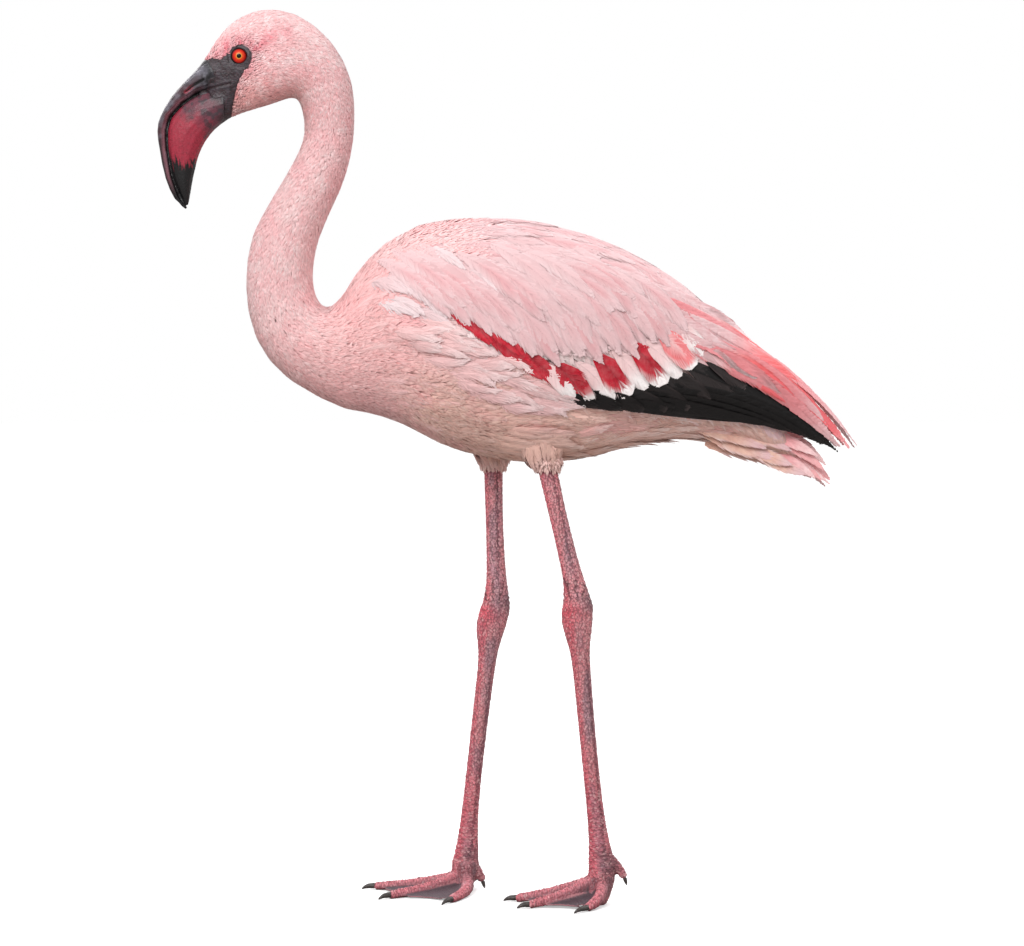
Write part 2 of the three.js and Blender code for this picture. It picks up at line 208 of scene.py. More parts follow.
def add_world():
    """A white surround for the eye, and a softer sky for the light that reaches the bird."""
    world = bpy.data.worlds.new("studio")
    scene.world = world
    world.use_nodes = True
    nodes, links = world.node_tree.nodes, world.node_tree.links
    nodes.clear()
    out = nodes.new("ShaderNodeOutputWorld")
    choose = nodes.new("ShaderNodeMixShader")
    seen = nodes.new("ShaderNodeBackground")
    light = nodes.new("ShaderNodeBackground")
    path = nodes.new("ShaderNodeLightPath")
    where = nodes.new("ShaderNodeTexCoord")
    split = nodes.new("ShaderNodeSeparateXYZ")
    ramp = nodes.new("ShaderNodeValToRGB")
    height = nodes.new("ShaderNodeMapRange")
    height.inputs["From Min"].default_value = -1
    seen.inputs["Color"].default_value = (1, 1, 1, 1)
    light.inputs["Strength"].default_value = SKY_STRENGTH
    ramp.color_ramp.elements[0].color = (0.3, 0.28, 0.27, 1)
    ramp.color_ramp.elements[1].color = (1, 1, 1, 1)
    middle = ramp.color_ramp.elements.new(0.5)
    middle.color = (0.7, 0.69, 0.69, 1)
    links.new(where.outputs["Generated"], split.inputs[0])
    links.new(split.outputs["Z"], height.inputs["Value"])
    links.new(height.outputs[0], ramp.inputs[0])
    links.new(ramp.outputs[0], light.inputs["Color"])
    links.new(path.outputs["Is Camera Ray"], choose.inputs[0])
    links.new(light.outputs[0], choose.inputs[1])
    links.new(seen.outputs[0], choose.inputs[2])
    links.new(choose.outputs[0], out.inputs[0])


def add_floor():
    bm = bmesh.new()
    bmesh.ops.create_circle(bm, cap_ends=True, radius=14, segments=64)
    mesh = bpy.data.meshes.new("floor")
    bm.to_mesh(mesh)
    bm.free()
    floor = bpy.data.objects.new("floor", mesh)
    scene.collection.objects.link(floor)
    floor.data.materials.append(floor_material())
    floor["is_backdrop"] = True


def floor_material():
    material = bpy.data.materials.new("pale_floor")
    material.use_nodes = True
    nodes, links = material.node_tree.nodes, material.node_tree.links
    nodes.clear()
    out = nodes.new("ShaderNodeOutputMaterial")
    seen = nodes.new("ShaderNodeBsdfDiffuse")
    lit = nodes.new("ShaderNodeBsdfDiffuse")
    path = nodes.new("ShaderNodeLightPath")
    choose = nodes.new("ShaderNodeMixShader")
    glow = nodes.new("ShaderNodeEmission")
    glow.inputs["Strength"].default_value = 0.4
    both = nodes.new("ShaderNodeAddShader")
    seen.inputs["Color"].default_value = (0.8, 0.8, 0.8, 1)
    lit.inputs["Color"].default_value = (0.34, 0.32, 0.31, 1)
    links.new(seen.outputs[0], both.inputs[0])
    links.new(glow.outputs[0], both.inputs[1])
    links.new(path.outputs["Is Camera Ray"], choose.inputs[0])
    links.new(lit.outputs[0], choose.inputs[1])
    links.new(both.outputs[0], choose.inputs[2])
    links.new(choose.outputs[0], out.inputs[0])
    return material


add_camera()
add_world()
add_light("key", (-0.9, -2.3, 2.2), 1.6, 60)
add_light("back_left", (-1.8, 2.0, 2.2), 1.6, 30)
add_light("back_right", (2.0, 1.2, 2.4), 1.6, 26)
add_floor()


# ------------------------------------------------------------------------------- the bird's lines, in mm

# Middle of the feathered flesh, from the forehead over the nape and down the neck to the tail: [x, z].
LIE = frame_mm([
    [-262, 727], [-252, 738], [-240, 747], [-220, 754], [-197, 752.5], [-175, 743], [-163, 725],
    [-160, 698], [-162, 674.5], [-172, 648.5], [-187.5, 619.5], [-200.5, 590.5], [-205, 554],
    [-198.5, 522.5], [-180.5, 501], [-149.5, 493], [-124, 504], [-95, 510], [-62, 507], [-25, 504],
    [19, 501], [70, 496], [119.5, 492], [166.5, 478.5], [205, 455.5], [240, 419], [267, 390],
])
LIE_STEPS = np.linalg.norm(np.diff(LIE, axis=0), axis=1)
LIE_ALONG = np.concatenate([[0], np.cumsum(LIE_STEPS)])
LIE_AHEAD = unit(np.gradient(LIE, axis=0))
NECK_ROOT = LIE_ALONG[16]  # where the neck meets the trunk
THROAT = LIE_ALONG[7]  # where the head meets the neck

# Edge of the bare face, where the head's feathers end.
BARE_FACE = frame_mm([
    [-268, 752], [-263, 754], [-255, 752], [-249, 757], [-244, 763], [-236, 765.5], [-229.5, 761.5],
    [-226.5, 757], [-226.8, 751.5], [-229.5, 745], [-235, 739], [-239, 731.5], [-241.5, 724],
    [-243.5, 716], [-245, 709], [-246.5, 704], [-250, 697], [-256, 690], [-330, 690], [-330, 760],
])
# Where the corner of the mouth crosses the skin.
MOUTH_CORNER = frame_mm([[-246.5, 730.8], [-252, 729.5], [-264, 727.2], [-274, 723.8]])
EYE = np.array([-238.0 + ROW_SHIFT, 12.6, 754.7]) * MM  # centre of the left eyeball is at -Y
EYE_RADIUS = 8.4 * MM
LID_RADIUS = 6.6 * MM

# Legs in the drawing's numbers: hip, ankle and foot root [x, y, z].
LEGS = {
    "left": {"hip": [31.8, -31, 404], "ankle": [62.2, -32, 267], "root": [84.2, -32, 34]},
    "right": {"hip": [-13.6, 31, 404], "ankle": [-11.6, 31, 258.5], "root": [-39, 30, 24]},
}


BARE_LEG_TOP = 0.392  # z under which the skin has the legs' colours
SCALY_TOP = 0.39  # z under which it is scaly
TOE_RIM_TOP = 0.012  # z under which the webs' and toes' rims are paler


def point3(p):
    return (np.asarray(p, float) + [ROW_SHIFT, 0, 0]) * MM


# ------------------------------------------------------------------------------- form and skin


def new_piece(name, mesh, material=None, slot=None, replaced=()):
    piece = bpy.data.objects.new(name, mesh)
    scene.collection.objects.link(piece)
    if material:
        mesh.materials.clear()
        mesh.materials.append(material)
    if slot:
        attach(piece, "root")
        if replaced:
            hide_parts(*replaced)
    return piece


def node_copies(names, swell=0.0):
    """CAD solids copied into one bmesh, joined at their corners and swollen a little so that gaps close."""
    bm = bmesh.new()
    for name in names:
        bm.from_mesh(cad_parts[name].data)
    bmesh.ops.remove_doubles(bm, verts=bm.verts, dist=2e-6)
    bm.normal_update()
    for vert in bm.verts:
        vert.co += vert.normal * swell
    return bm


def worked(name, bm, modifiers):
    """A bmesh as a mesh, after modifiers given as (type, {setting: value})."""
    mesh = bpy.data.meshes.new(name)
    bm.to_mesh(mesh)
    bm.free()
    obj = bpy.data.objects.new(name, mesh)
    scene.collection.objects.link(obj)
    for kind, settings in modifiers:
        modifier = obj.modifiers.new(kind.lower(), kind)
        for key, value in settings.items():
            setattr(modifier, key, value)
    depsgraph = bpy.context.evaluated_depsgraph_get()
    done = bpy.data.meshes.new_from_object(obj.evaluated_get(depsgraph))
    bpy.data.objects.remove(obj)
    bpy.data.meshes.remove(mesh)
    return done


def coords(mesh):
    flat = np.empty(len(mesh.vertices) * 3)
    mesh.vertices.foreach_get("co", flat)
    return flat.reshape(-1, 3)


def normals(mesh):
    flat = np.empty(len(mesh.vertices) * 3)
    mesh.vertices.foreach_get("normal", flat)
    return flat.reshape(-1, 3)


def move_to(mesh, places):
    mesh.vertices.foreach_set("co", np.ascontiguousarray(places).ravel())
    mesh.update()


def smooth_faces(mesh):
    mesh.polygons.foreach_set("use_smooth", np.ones(len(mesh.polygons), bool))


def triangles(mesh):
    mesh.calc_loop_triangles()
    flat = np.empty(len(mesh.loop_triangles) * 3, int)
    mesh.loop_triangles.foreach_get("vertices", flat)
    return flat.reshape(-1, 3)


class Surface:
    """A mesh to look up: nearest places, rays, and smooth normals."""

    def __init__(self, mesh):
        self.co, self.no, self.tri = coords(mesh), normals(mesh), triangles(mesh)
        self.tree = BVHTree.FromPolygons([tuple(v) for v in self.co], [tuple(t) for t in self.tri.tolist()])

    def shaded(self, face, at):
        corners = self.tri[face]
        away = np.linalg.norm(self.co[corners] - at[:, None], axis=-1)
        weight = 1 / np.maximum(away, 1e-5)
        return unit((self.no[corners] * weight[..., None]).sum(1))

    def nearest(self, p):
        found = [self.tree.find_nearest(v) for v in p.tolist()]
        at = np.array([f[0] for f in found])
        return at, self.shaded(np.array([f[2] for f in found]), at)

    def ray(self, starts, ways):
        found = [self.tree.ray_cast(s, w) for s, w in zip(starts.tolist(), ways.tolist())]
        hit = np.array([f[0] is not None for f in found])
        at = np.array([f[0] if f[0] is not None else (0, 0, 0) for f in found])
        face = np.array([f[2] if f[0] is not None else 0 for f in found])
        return hit, at, self.shaded(face, at)


def lie_of(p):
    """Along the middle line in metres, its direction, and the angle round it, for points [x, y, z]."""
    flat = p[:, [0, 2]]
    _, along = to_line(flat, LIE)
    low = np.minimum(along.astype(int), len(LIE) - 2)
    share = along - low
    place = LIE[low] * (1 - share[:, None]) + LIE[low + 1] * share[:, None]
    ahead = unit(LIE_AHEAD[low] * (1 - share[:, None]) + LIE_AHEAD[low + 1] * share[:, None])
    metres = LIE_ALONG[low] + LIE_STEPS[low] * share
    up = np.stack([-ahead[:, 1], ahead[:, 0]], 1)
    angle = np.arctan2(((flat - place) * up).sum(1), p[:, 1])
    return metres, np.stack([ahead[:, 0], 0 * metres, ahead[:, 1]], 1), angle


TRUNK_NODES = ["trunk", "neck_lower", "neck_middle", "neck_upper", "head", "wing_left", "wing_right"]
LIMB_NODES = [f"{part}_{side}" for side in SIDES for part in ("thigh", "shin", "shank", "foot")]
HEAD_START = 0.69  # z above which a place can be on the head, in metres


CORE_FRONT = -279 * MM  # x at which the bill core ends


def add_bill_core(bm):
    """The root of the bill, which the skin runs under, cut off square where it is well inside the horn."""
    core = node_copies(["bill_upper", "bill_lower"], 0.3 * MM)
    whole = core.verts[:] + core.edges[:] + core.faces[:]
    cut = bmesh.ops.bisect_plane(core, geom=whole, plane_co=(CORE_FRONT, 0, 0), plane_no=(-1, 0, 0),
                                 clear_outer=True)
    rim = [edge for edge in cut["geom_cut"] if isinstance(edge, bmesh.types.BMEdge)]
    bmesh.ops.holes_fill(core, edges=rim)
    mesh = bpy.data.meshes.new("bill_core")
    core.to_mesh(mesh)
    core.free()
    bm.from_mesh(mesh)
    bpy.data.meshes.remove(mesh)


def body_form():
    """The outer surface of the plumage on trunk, neck and head, with the root of the bill."""
    bm = node_copies(TRUNK_NODES, 0.3 * MM)
    add_bill_core(bm)
    remesh = ("REMESH", {"mode": "VOXEL", "voxel_size": 2.5 * MM})
    ease = ("SMOOTH", {"factor": 0.5, "iterations": 22})
    mesh = worked("form", bm, [remesh, ease])
    move_to(mesh, coords(mesh) + normals(mesh) * 0.6 * MM)
    return mesh


def coat_depth(p):
    """How far the skin lies inside the plumage's outer surface."""
    metres, _, _ = lie_of(p)
    depth = np.interp(metres, [0, 0.03, THROAT, 0.3, NECK_ROOT, NECK_ROOT + 0.06, 1.2],
                      [0.7 * MM, 1.0 * MM, 1.6 * MM, 2.2 * MM, 3.4 * MM, 5.5 * MM, 5.5 * MM])
    bare = inside(p[:, [0, 2]], BARE_FACE) & (p[:, 2] > HEAD_START)
    return np.where(bare, 0.1 * MM, depth)


def under_horn(p):
    """How far a place lies under the bill's horn rather than on the head, 0 to 1."""
    share = np.zeros(len(p))
    front = np.nonzero((p[:, 0] < -0.235) & (p[:, 2] > 0.6))[0]
    away = []
    for names in (["head"], ["bill_upper", "bill_lower"]):
        solid = worked("solid", node_copies(names), [])
        away.append(np.linalg.norm(Surface(solid).nearest(p[front])[0] - p[front], axis=1))
    share[front] = smooth(2.0 * MM, 6.0 * MM, away[0] - away[1])
    return share


def face_shape(p, n):
    """Lids, sunk sockets and fine folds of the bare face, as places for the skin's points."""
    side = np.sign(p[:, 1])
    r = np.hypot(p[:, 0] - EYE[0], (p[:, 2] - EYE[2]))
    angle = np.arctan2(p[:, 2] - EYE[2], p[:, 0] - EYE[0])
    near = (np.abs(p[:, 1]) > 8 * MM) & (p[:, 2] > HEAD_START)
    # The rear corner of the opening is drawn out a little.
    opening = LID_RADIUS * (1 + 0.1 * bell(angle - 0.1, 0.35))
    lid = bell(r - opening - 0.9 * MM, 1.0 * MM) * 1.0 * MM
    fold = bell(r - opening - 3.3 * MM, 0.5 * MM) * -0.35 * MM
    crease = 0.12 * MM * np.sin(angle * 46) * smooth(0.2 * MM, 1.6 * MM, r - opening)
    crease *= 1 - smooth(2 * MM, 4 * MM, r - opening)
    socket = -4.5 * MM * (1 - smooth(-1.2 * MM, 0.1 * MM, r - opening))
    out = np.where(near, lid + fold + crease, 0)
    bare = inside(p[:, [0, 2]], BARE_FACE) & near
    wrinkle = (cloud(p * [1, 1, 2.4], 1.6 * MM, 3) - 0.5) * 0.5 * MM
    out = out + np.where(bare & (r > opening + 2 * MM), wrinkle, 0)
    corner = to_line(p[:, [0, 2]], MOUTH_CORNER)[0]
    out = out - np.where(near, 0.7 * MM * bell(corner, 0.7 * MM), 0)
    out = out + np.where(near, 0.35 * MM * bell(corner - 2.2 * MM, 1.0 * MM), 0)
    moved = p + n * out[:, None]
    moved[:, 1] += side * np.where(near, socket, 0)
    return moved


HORN_DEPTH = 2.6 * MM


def body_skin(form):
    """The form's copy, shrunk by the coat's depth and made finer on the head."""
    bm = bmesh.new()
    bm.from_mesh(form)
    for limit in (-0.2, -0.222):
        head = [e for e in bm.edges if all(v.co.x < limit and v.co.z > HEAD_START for v in e.verts)]
        bmesh.ops.subdivide_edges(bm, edges=head, cuts=1, use_grid_fill=True, smooth=0.0)
    front = [v for v in bm.verts if v.co.x < -0.215 and v.co.z > HEAD_START]
    bmesh.ops.smooth_vert(bm, verts=front, factor=0.5, use_axis_x=True, use_axis_y=True, use_axis_z=True)
    bm.normal_update()
    mesh = bpy.data.meshes.new("skin_body")
    bm.to_mesh(mesh)
    bm.free()
    p, n = coords(mesh), normals(mesh)
    depth = np.maximum(coat_depth(p), HORN_DEPTH * under_horn(p))
    move_to(mesh, p - n * depth[:, None])
    move_to(mesh, face_shape(coords(mesh), normals(mesh)))
    return mesh


def leg_shape(p, n):
    """Grooves, wrinkles and swellings on the bare legs, as places for the skin's points."""
    out = np.zeros(len(p))
    for leg in LEGS.values():
        hip, ankle, root = (point3(leg[k]) for k in ("hip", "ankle", "root"))
        mine = (np.sign(p[:, 1]) == np.sign(hip[1])) & (p[:, 2] < 0.4)
        tibia = p[:, 2] > ankle[2]
        top, end = np.where(tibia[:, None], hip, ankle), np.where(tibia[:, None], ankle, root)
        share = (p[:, 2] - top[:, 2]) / (end[:, 2] - top[:, 2])
        axis = top + (end - top) * share[:, None]
        back = np.arctan2(np.abs(p[:, 1] - axis[:, 1]), p[:, 0] - axis[:, 0])
        shaft = mine & (p[:, 2] > root[2] * 1.15)
        groove = -0.9 * MM * bell(back - 1.12, 0.2)
        ends = smooth(0.16, 0.34, np.where(tibia, 1 - share, share))
        groove *= ends * (1 - smooth(0.8, 0.95, share * ~tibia))
        near_ankle = np.abs(p[:, 2] - ankle[2])
        rings = 0.32 * MM * np.sin(p[:, 2] / (0.75 * MM) + 3.2 * cloud(p, 5 * MM, 5))
        rings *= bell(p[:, 2] - ankle[2] - 13 * MM, 11 * MM)
        foot = 0.42 * MM * np.sin(p[:, 2] / (0.8 * MM) + 3 * cloud(p, 6 * MM, 6))
        foot *= bell(p[:, 2] - root[2] - 14 * MM, 10 * MM) * smooth(0.6, 1.6, back)
        lumps = (cloud(p, 2.2 * MM, 8) - 0.5) * 0.7 * MM * bell(near_ankle, 16 * MM)
        out += np.where(shaft, groove + rings + foot + lumps, 0)
    toes = (p[:, 2] < 0.034) & (n[:, 2] > -0.3)
    scutes = 0.22 * MM * np.sin((p[:, 0] * 0.95 + p[:, 1] * 0.35) / (0.55 * MM) + 2 * cloud(p, 6 * MM, 9))
    out += np.where(toes & (p[:, 2] > 3.2 * MM), scutes, 0)
    return p + n * out[:, None]


def limb_skin():
    """Thighs, legs and webbed feet, with a plug into the belly at each hip."""
    bm = node_copies(LIMB_NODES, 0.25 * MM)
    for leg in LEGS.values():
        x, y, z = point3(leg["hip"])
        added = bmesh.ops.create_uvsphere(bm, u_segments=20, v_segments=12, radius=1)["verts"]
        bmesh.ops.scale(bm, verts=added, vec=(10 * MM, 9 * MM, 18 * MM))
        bmesh.ops.translate(bm, verts=added, vec=(x, y, z + 4 * MM))
    remesh = ("REMESH", {"mode": "VOXEL", "voxel_size": 1.5 * MM})
    ease = ("SMOOTH", {"factor": 0.5, "iterations": 7})
    mesh = worked("skin_limbs", bm, [remesh, ease])
    p, n = coords(mesh), normals(mesh)
    thigh = smooth(0.385, 0.397, p[:, 2])
    p = p + n * (0.2 * MM - 2.2 * MM * thigh)[:, None]
    for leg in LEGS.values():
        hip = point3(leg["hip"])
        near = np.linalg.norm(p[:, :2] - hip[:2], axis=1) < 26 * MM
        pull = 0.42 * smooth(0.396, 0.41, p[:, 2]) * near
        p[:, :2] += (hip[:2] * [1, 0.85] - p[:, :2]) * pull[:, None]
    move_to(mesh, p)
    p = leg_shape(coords(mesh), normals(mesh))
    p[:, 2] = np.maximum(p[:, 2], 0)
    move_to(mesh, p)
    return mesh


SKIN_KEPT = 0.66


def joined_skin(body, limbs):
    """Body and limbs as one closed mesh, thinned where feathers hide it."""
    bm = bmesh.new()
    bm.from_mesh(body)
    hold = bpy.data.objects.new("limbs", limbs)
    scene.collection.objects.link(hold)
    union = ("BOOLEAN", {"operation": "UNION", "object": hold, "solver": "MANIFOLD"})
    whole = worked("skin", bm, [union])
    bpy.data.objects.remove(hold)
    obj = bpy.data.objects.new("thinning", whole)
    scene.collection.objects.link(obj)
    hidden = obj.vertex_groups.new(name="hidden")
    p = coords(whole)
    covered = np.nonzero((p[:, 2] > 0.41) & (p[:, 0] > -0.2) | (p[:, 2] > 0.41) & (p[:, 2] < 0.64))[0]
    hidden.add(covered.tolist(), 1.0, "REPLACE")
    modifier = obj.modifiers.new("thin", "DECIMATE")
    modifier.ratio = SKIN_KEPT
    modifier.vertex_group = "hidden"
    depsgraph = bpy.context.evaluated_depsgraph_get()
    done = bpy.data.meshes.new_from_object(obj.evaluated_get(depsgraph))
    bpy.data.objects.remove(obj)
    done.name = "skin"
    return one_body(done)


def one_body(mesh):
    """The mesh with all but its largest connected body taken out."""
    bm = bmesh.new()
    bm.from_mesh(mesh)
    bodies, seen = [], set()
    for start in bm.verts:
        if start in seen:
            continue
        seen.add(start)
        body = [start]
        for vert in body:
            fresh = [e.other_vert(vert) for e in vert.link_edges]
            fresh = [v for v in fresh if v not in seen]
            seen.update(fresh)
            body.extend(fresh)
        bodies.append(body)
    bodies.sort(key=len)
    bmesh.ops.delete(bm, geom=[v for body in bodies[:-1] for v in body], context="VERTS")
    bm.to_mesh(mesh)
    bm.free()
    return mesh


form_mesh = body_form()
form = Surface(form_mesh)
skin_mesh = joined_skin(body_skin(form_mesh), limb_skin())


# ------------------------------------------------------------------------------- coats

BACK_X = [-0.16, -0.101, -0.069, -0.03, 0.019, 0.072, 0.121, 0.168, 0.204, 0.238, 0.266, 0.3]
BACK_Z = [0.542, 0.595, 0.606, 0.610, 0.608, 0.595, 0.573, 0.541, 0.499, 0.44, 0.392, 0.35]
WING_LOW_X = [-0.13, -0.116, -0.094, -0.059, -0.025, 0.036, 0.067, 0.115, 0.167, 0.3]
WING_LOW_Z = [0.53, 0.508, 0.499, 0.493, 0.484, 0.46, 0.449, 0.443, 0.438, 0.42]


def wing_share(p):
    """How much a place belongs to the closed wing rather than to the trunk, 0 to 1."""
    x, y, z = p.T
    top, low = np.interp(x, BACK_X, BACK_Z), np.interp(x, WING_LOW_X, WING_LOW_Z)
    share = smooth(-0.10, -0.04, x) * (1 - smooth(0.19, 0.24, x)) * smooth(0.0, 0.11, top - z)
    return share * smooth(-0.004, 0.008, z - low) * smooth(0.01, 0.03, np.abs(y))


def flow(p, n):
    """The way the plumage lies at a place."""
    _, way, _ = lie_of(p)
    slope = 0.42 + 0.5 * smooth(-0.05, 0.08, p[:, 0]) - 0.2 * smooth(0.09, 0.2, p[:, 0])
    wing_way = np.stack([np.cos(slope), 0 * slope, -np.sin(slope)], 1)
    way = mix(way, wing_way, wing_share(p))
    for leg in LEGS.values():
        hip, ankle = point3(leg["hip"]), point3(leg["ankle"])
        mine = (np.sign(p[:, 1]) == np.sign(hip[1])) & (np.abs(p[:, 0] - hip[0]) < 0.032)
        way = mix(way, unit(ankle - hip), mine * (1 - smooth(0.392, 0.408, p[:, 2])))
    return unit(way - n * (way * n).sum(1)[:, None])


def unwrapped(p):
    """A place's spot on the coats' unwrap: the angle round the middle line, and how far along it."""
    metres, _, angle = lie_of(p)
    return np.stack([0.03 + 0.94 * (angle / (2 * math.pi) + 0.5), 0.03 + 0.94 * metres / LIE_ALONG[-1]], 1)


LEFT_RIM, ON_RIDGE, RIGHT_RIM, AT_TIP, AT_ROOT = 1, 2, 4, 8, 16
RIDGE = 0.12  # height of a tuft's ridge, as a share of its half width
EDGE_TURN = 0.4  # how far the shading turns at a tuft's edges


class Coat:
    """Thin closed tufts, each a few three-cornered rings and a tip, gathered into one mesh."""

    def __init__(self, ridge=RIDGE, turn=EDGE_TURN):
        self.ridge, self.turn = ridge, turn
        self.co, self.no, self.tri, self.tint, self.uv, self.rim, self.count = [], [], [], [], [], [], 0

    def add(self, spine, ahead, up, half, tint, spots):
        """Tufts from spines (n, k + 1, 3), the last place the tip, with half widths (n, k)."""
        n, k = half.shape
        across = unit(np.cross(ahead, up)) * half[..., None]
        ridge = up * half[..., None] * self.ridge
        rings = np.stack([spine[:, :k] - across, spine[:, :k] + ridge, spine[:, :k] + across], 2)
        co = np.concatenate([rings.reshape(n, 3 * k, 3), spine[:, k:]], 1)
        # Soft shading: each tuft's edges turn only a little away from the coat's own surface.
        turned = unit(np.cross(ahead, up)) * self.turn
        soft = np.stack([up - turned, up, up + turned], 2).reshape(n, 3 * k, 3)
        soft = unit(np.concatenate([soft, up[:, -1:] + ahead[:, -1:] * self.turn], 1))
        under = np.stack([-up - turned, -up, -up + turned], 2).reshape(n, 3 * k, 3)
        under = unit(np.concatenate([under, -up[:, -1:] + ahead[:, -1:] * self.turn], 1))
        faces = [(0, 2, 1)]
        for ring in range(k - 1):
            for a, b in ((0, 1), (1, 2), (2, 0)):
                low, high = 3 * ring, 3 * ring + 3
                faces += [(low + a, low + b, high + b), (low + a, high + b, high + a)]
        last = 3 * (k - 1)
        faces += [(last + a, last + b, 3 * k) for a, b in ((0, 1), (1, 2), (2, 0))]
        below = np.array([sum(v % 3 == 1 and v < 3 * k for v in face) == 0 for face in faces])
        corners = np.where(below[None, :, None, None], under[:, np.array(faces)], soft[:, np.array(faces)])
        size = 3 * k + 1
        tri = np.array(faces)[None] + (np.arange(n) * size + self.count)[:, None, None]
        patch = np.zeros((size, 2))
        patch[: 3 * k, 0] = np.tile([-0.5, 0, 0.5], k)
        patch[:, 1] = np.append(np.repeat(np.arange(k) / k, 3), 1)
        shades = np.concatenate([np.repeat(tint[:, :k], 3, axis=1), tint[:, k:]], 1)
        self.co.append(co.reshape(-1, 3))
        self.no.append(corners.reshape(-1, 3).astype(np.float32))
        self.tri.append(tri.reshape(-1, 3))
        self.tint.append(shades.reshape(-1, 3))
        self.uv.append((spots[:, None] + patch * BAKE_PATCH).reshape(-1, 2))
        kinds = np.append(np.tile([LEFT_RIM, ON_RIDGE, RIGHT_RIM], k), AT_TIP)
        kinds[:3] |= AT_ROOT
        self.rim.append(np.tile(kinds, n))
        self.count += n * size

    def sharpen(self, mesh):
        """Marks the edges between a tuft's upper side and underside, so that each keeps its own shading."""
        ends = np.empty(len(mesh.edges) * 2, int)
        mesh.edges.foreach_get("vertices", ends)
        kinds = np.concatenate(self.rim)[ends.reshape(-1, 2)]
        met = (kinds[:, 0] | kinds[:, 1]) & ~AT_ROOT
        sharp = np.isin(met, [LEFT_RIM, RIGHT_RIM, LEFT_RIM | AT_TIP, RIGHT_RIM | AT_TIP])
        sharp |= (met == LEFT_RIM | RIGHT_RIM) & (kinds[:, 0] & kinds[:, 1] & AT_ROOT > 0)
        mesh.attributes.new("sharp_edge", "BOOLEAN", "EDGE").data.foreach_set("value", sharp)

    def piece(self, name, material, slot, replaced=()):
        co, tri = np.concatenate(self.co), np.concatenate(self.tri)
        mesh = bpy.data.meshes.new(name)
        mesh.vertices.add(len(co))
        mesh.vertices.foreach_set("co", co.ravel())
        mesh.loops.add(tri.size)
        mesh.loops.foreach_set("vertex_index", tri.ravel())
        mesh.polygons.add(len(tri))
        mesh.polygons.foreach_set("loop_start", np.arange(len(tri)) * 3)
        mesh.polygons.foreach_set("use_smooth", np.ones(len(tri), bool))
        paint(mesh, np.concatenate(self.tint))
        layer = mesh.uv_layers.new(name="OFBake")
        layer.data.foreach_set("uv", np.concatenate(self.uv)[tri.ravel()].ravel())
        mesh.update(calc_edges=True)
        self.sharpen(mesh)
        corner = mesh.attributes.new("custom_normal", "FLOAT_VECTOR", "CORNER")
        corner.data.foreach_set("vector", np.concatenate(self.no).ravel())
        return new_piece(name, mesh, material, slot, replaced)


def paint(mesh, colours):
    tint = mesh.color_attributes.new("tint", "FLOAT_COLOR", "POINT")
    tint.data.foreach_set("color", np.concatenate([colours, np.ones((len(colours), 1))], 1).ravel())


def scatter(surface, spacing, wanted, over=5):
    """Even roots on a surface, about one in each cell of the given spacing: places and normals."""
    a, b, c = (surface.co[surface.tri[:, i]] for i in range(3))
    middle = (a + b + c) / 3
    kept = wanted(middle)
    a, b, c = a[kept], b[kept], c[kept]
    area = np.linalg.norm(np.cross(b - a, c - a), axis=1) / 2
    count = int(over * area.sum() / spacing**2)
    pick = rng.choice(len(area), count, p=area / area.sum())
    u, v = rng.random(count), rng.random(count)
    u, v = np.where(u + v > 1, 1 - u, u)[:, None], np.where(u + v > 1, 1 - v, v)[:, None]
    p = a[pick] + (b - a)[pick] * u + (c - a)[pick] * v
    _, first = np.unique(np.floor(p / spacing).astype(int), axis=0, return_index=True)
    p = p[np.sort(first)]
    p, n = surface.nearest(p[wanted(p)])
    return p, n


def lay_tufts(coat, p, n, length, half, colour, sections=2, lift=0.0, twist=0.25, shades=(0.9, 1.06)):
    """Tufts that walk over the form from their roots, deep at the root and proud at the tip."""
    count = len(p)
    turn = rng.normal(0, twist, count)
    depth = coat_depth(p)
    at, up = p, n
    spine, ahead, ups = [], [], []
    for k in range(sections + 1):
        share = k / sections
        way = flow(at, up)
        way = unit(way * np.cos(turn)[:, None] + np.cross(up, way) * np.sin(turn)[:, None])
        height = -depth * (1 - share) ** 1.3 * 0.5 + lift * share**1.5
        spine.append(at + up * height[:, None])
        ahead.append(way)
        ups.append(up)
        if k < sections:
            at, up = form.nearest(at + way * (length / sections)[:, None])
    spine, ahead, ups = (np.stack(v, 1) for v in (spine, ahead, ups))
    profile = np.interp(np.arange(sections) / sections, [0, 0.4, 0.75, 1], [0.6, 1.0, 0.8, 0.1])
    # Painted shade: each tuft is darker and rosier at its root, where the tuft before it covers it, and
    # lighter towards its tip.
    shade = np.linspace(*shades, sections + 1)[None, :, None] ** np.array([0.8, 1.25, 1.2])
    tint = np.clip(colour[:, None] * shade, 0, 1)
    coat.add(spine, ahead[:, :-1], ups[:, :-1], half[:, None] * profile, tint, unwrapped(p))


ROSE_BAND = frame_mm([[-256, 758], [-250, 762.5], [-241, 767], [-231, 766], [-225, 760], [-217, 768],
                      [-200, 777]])


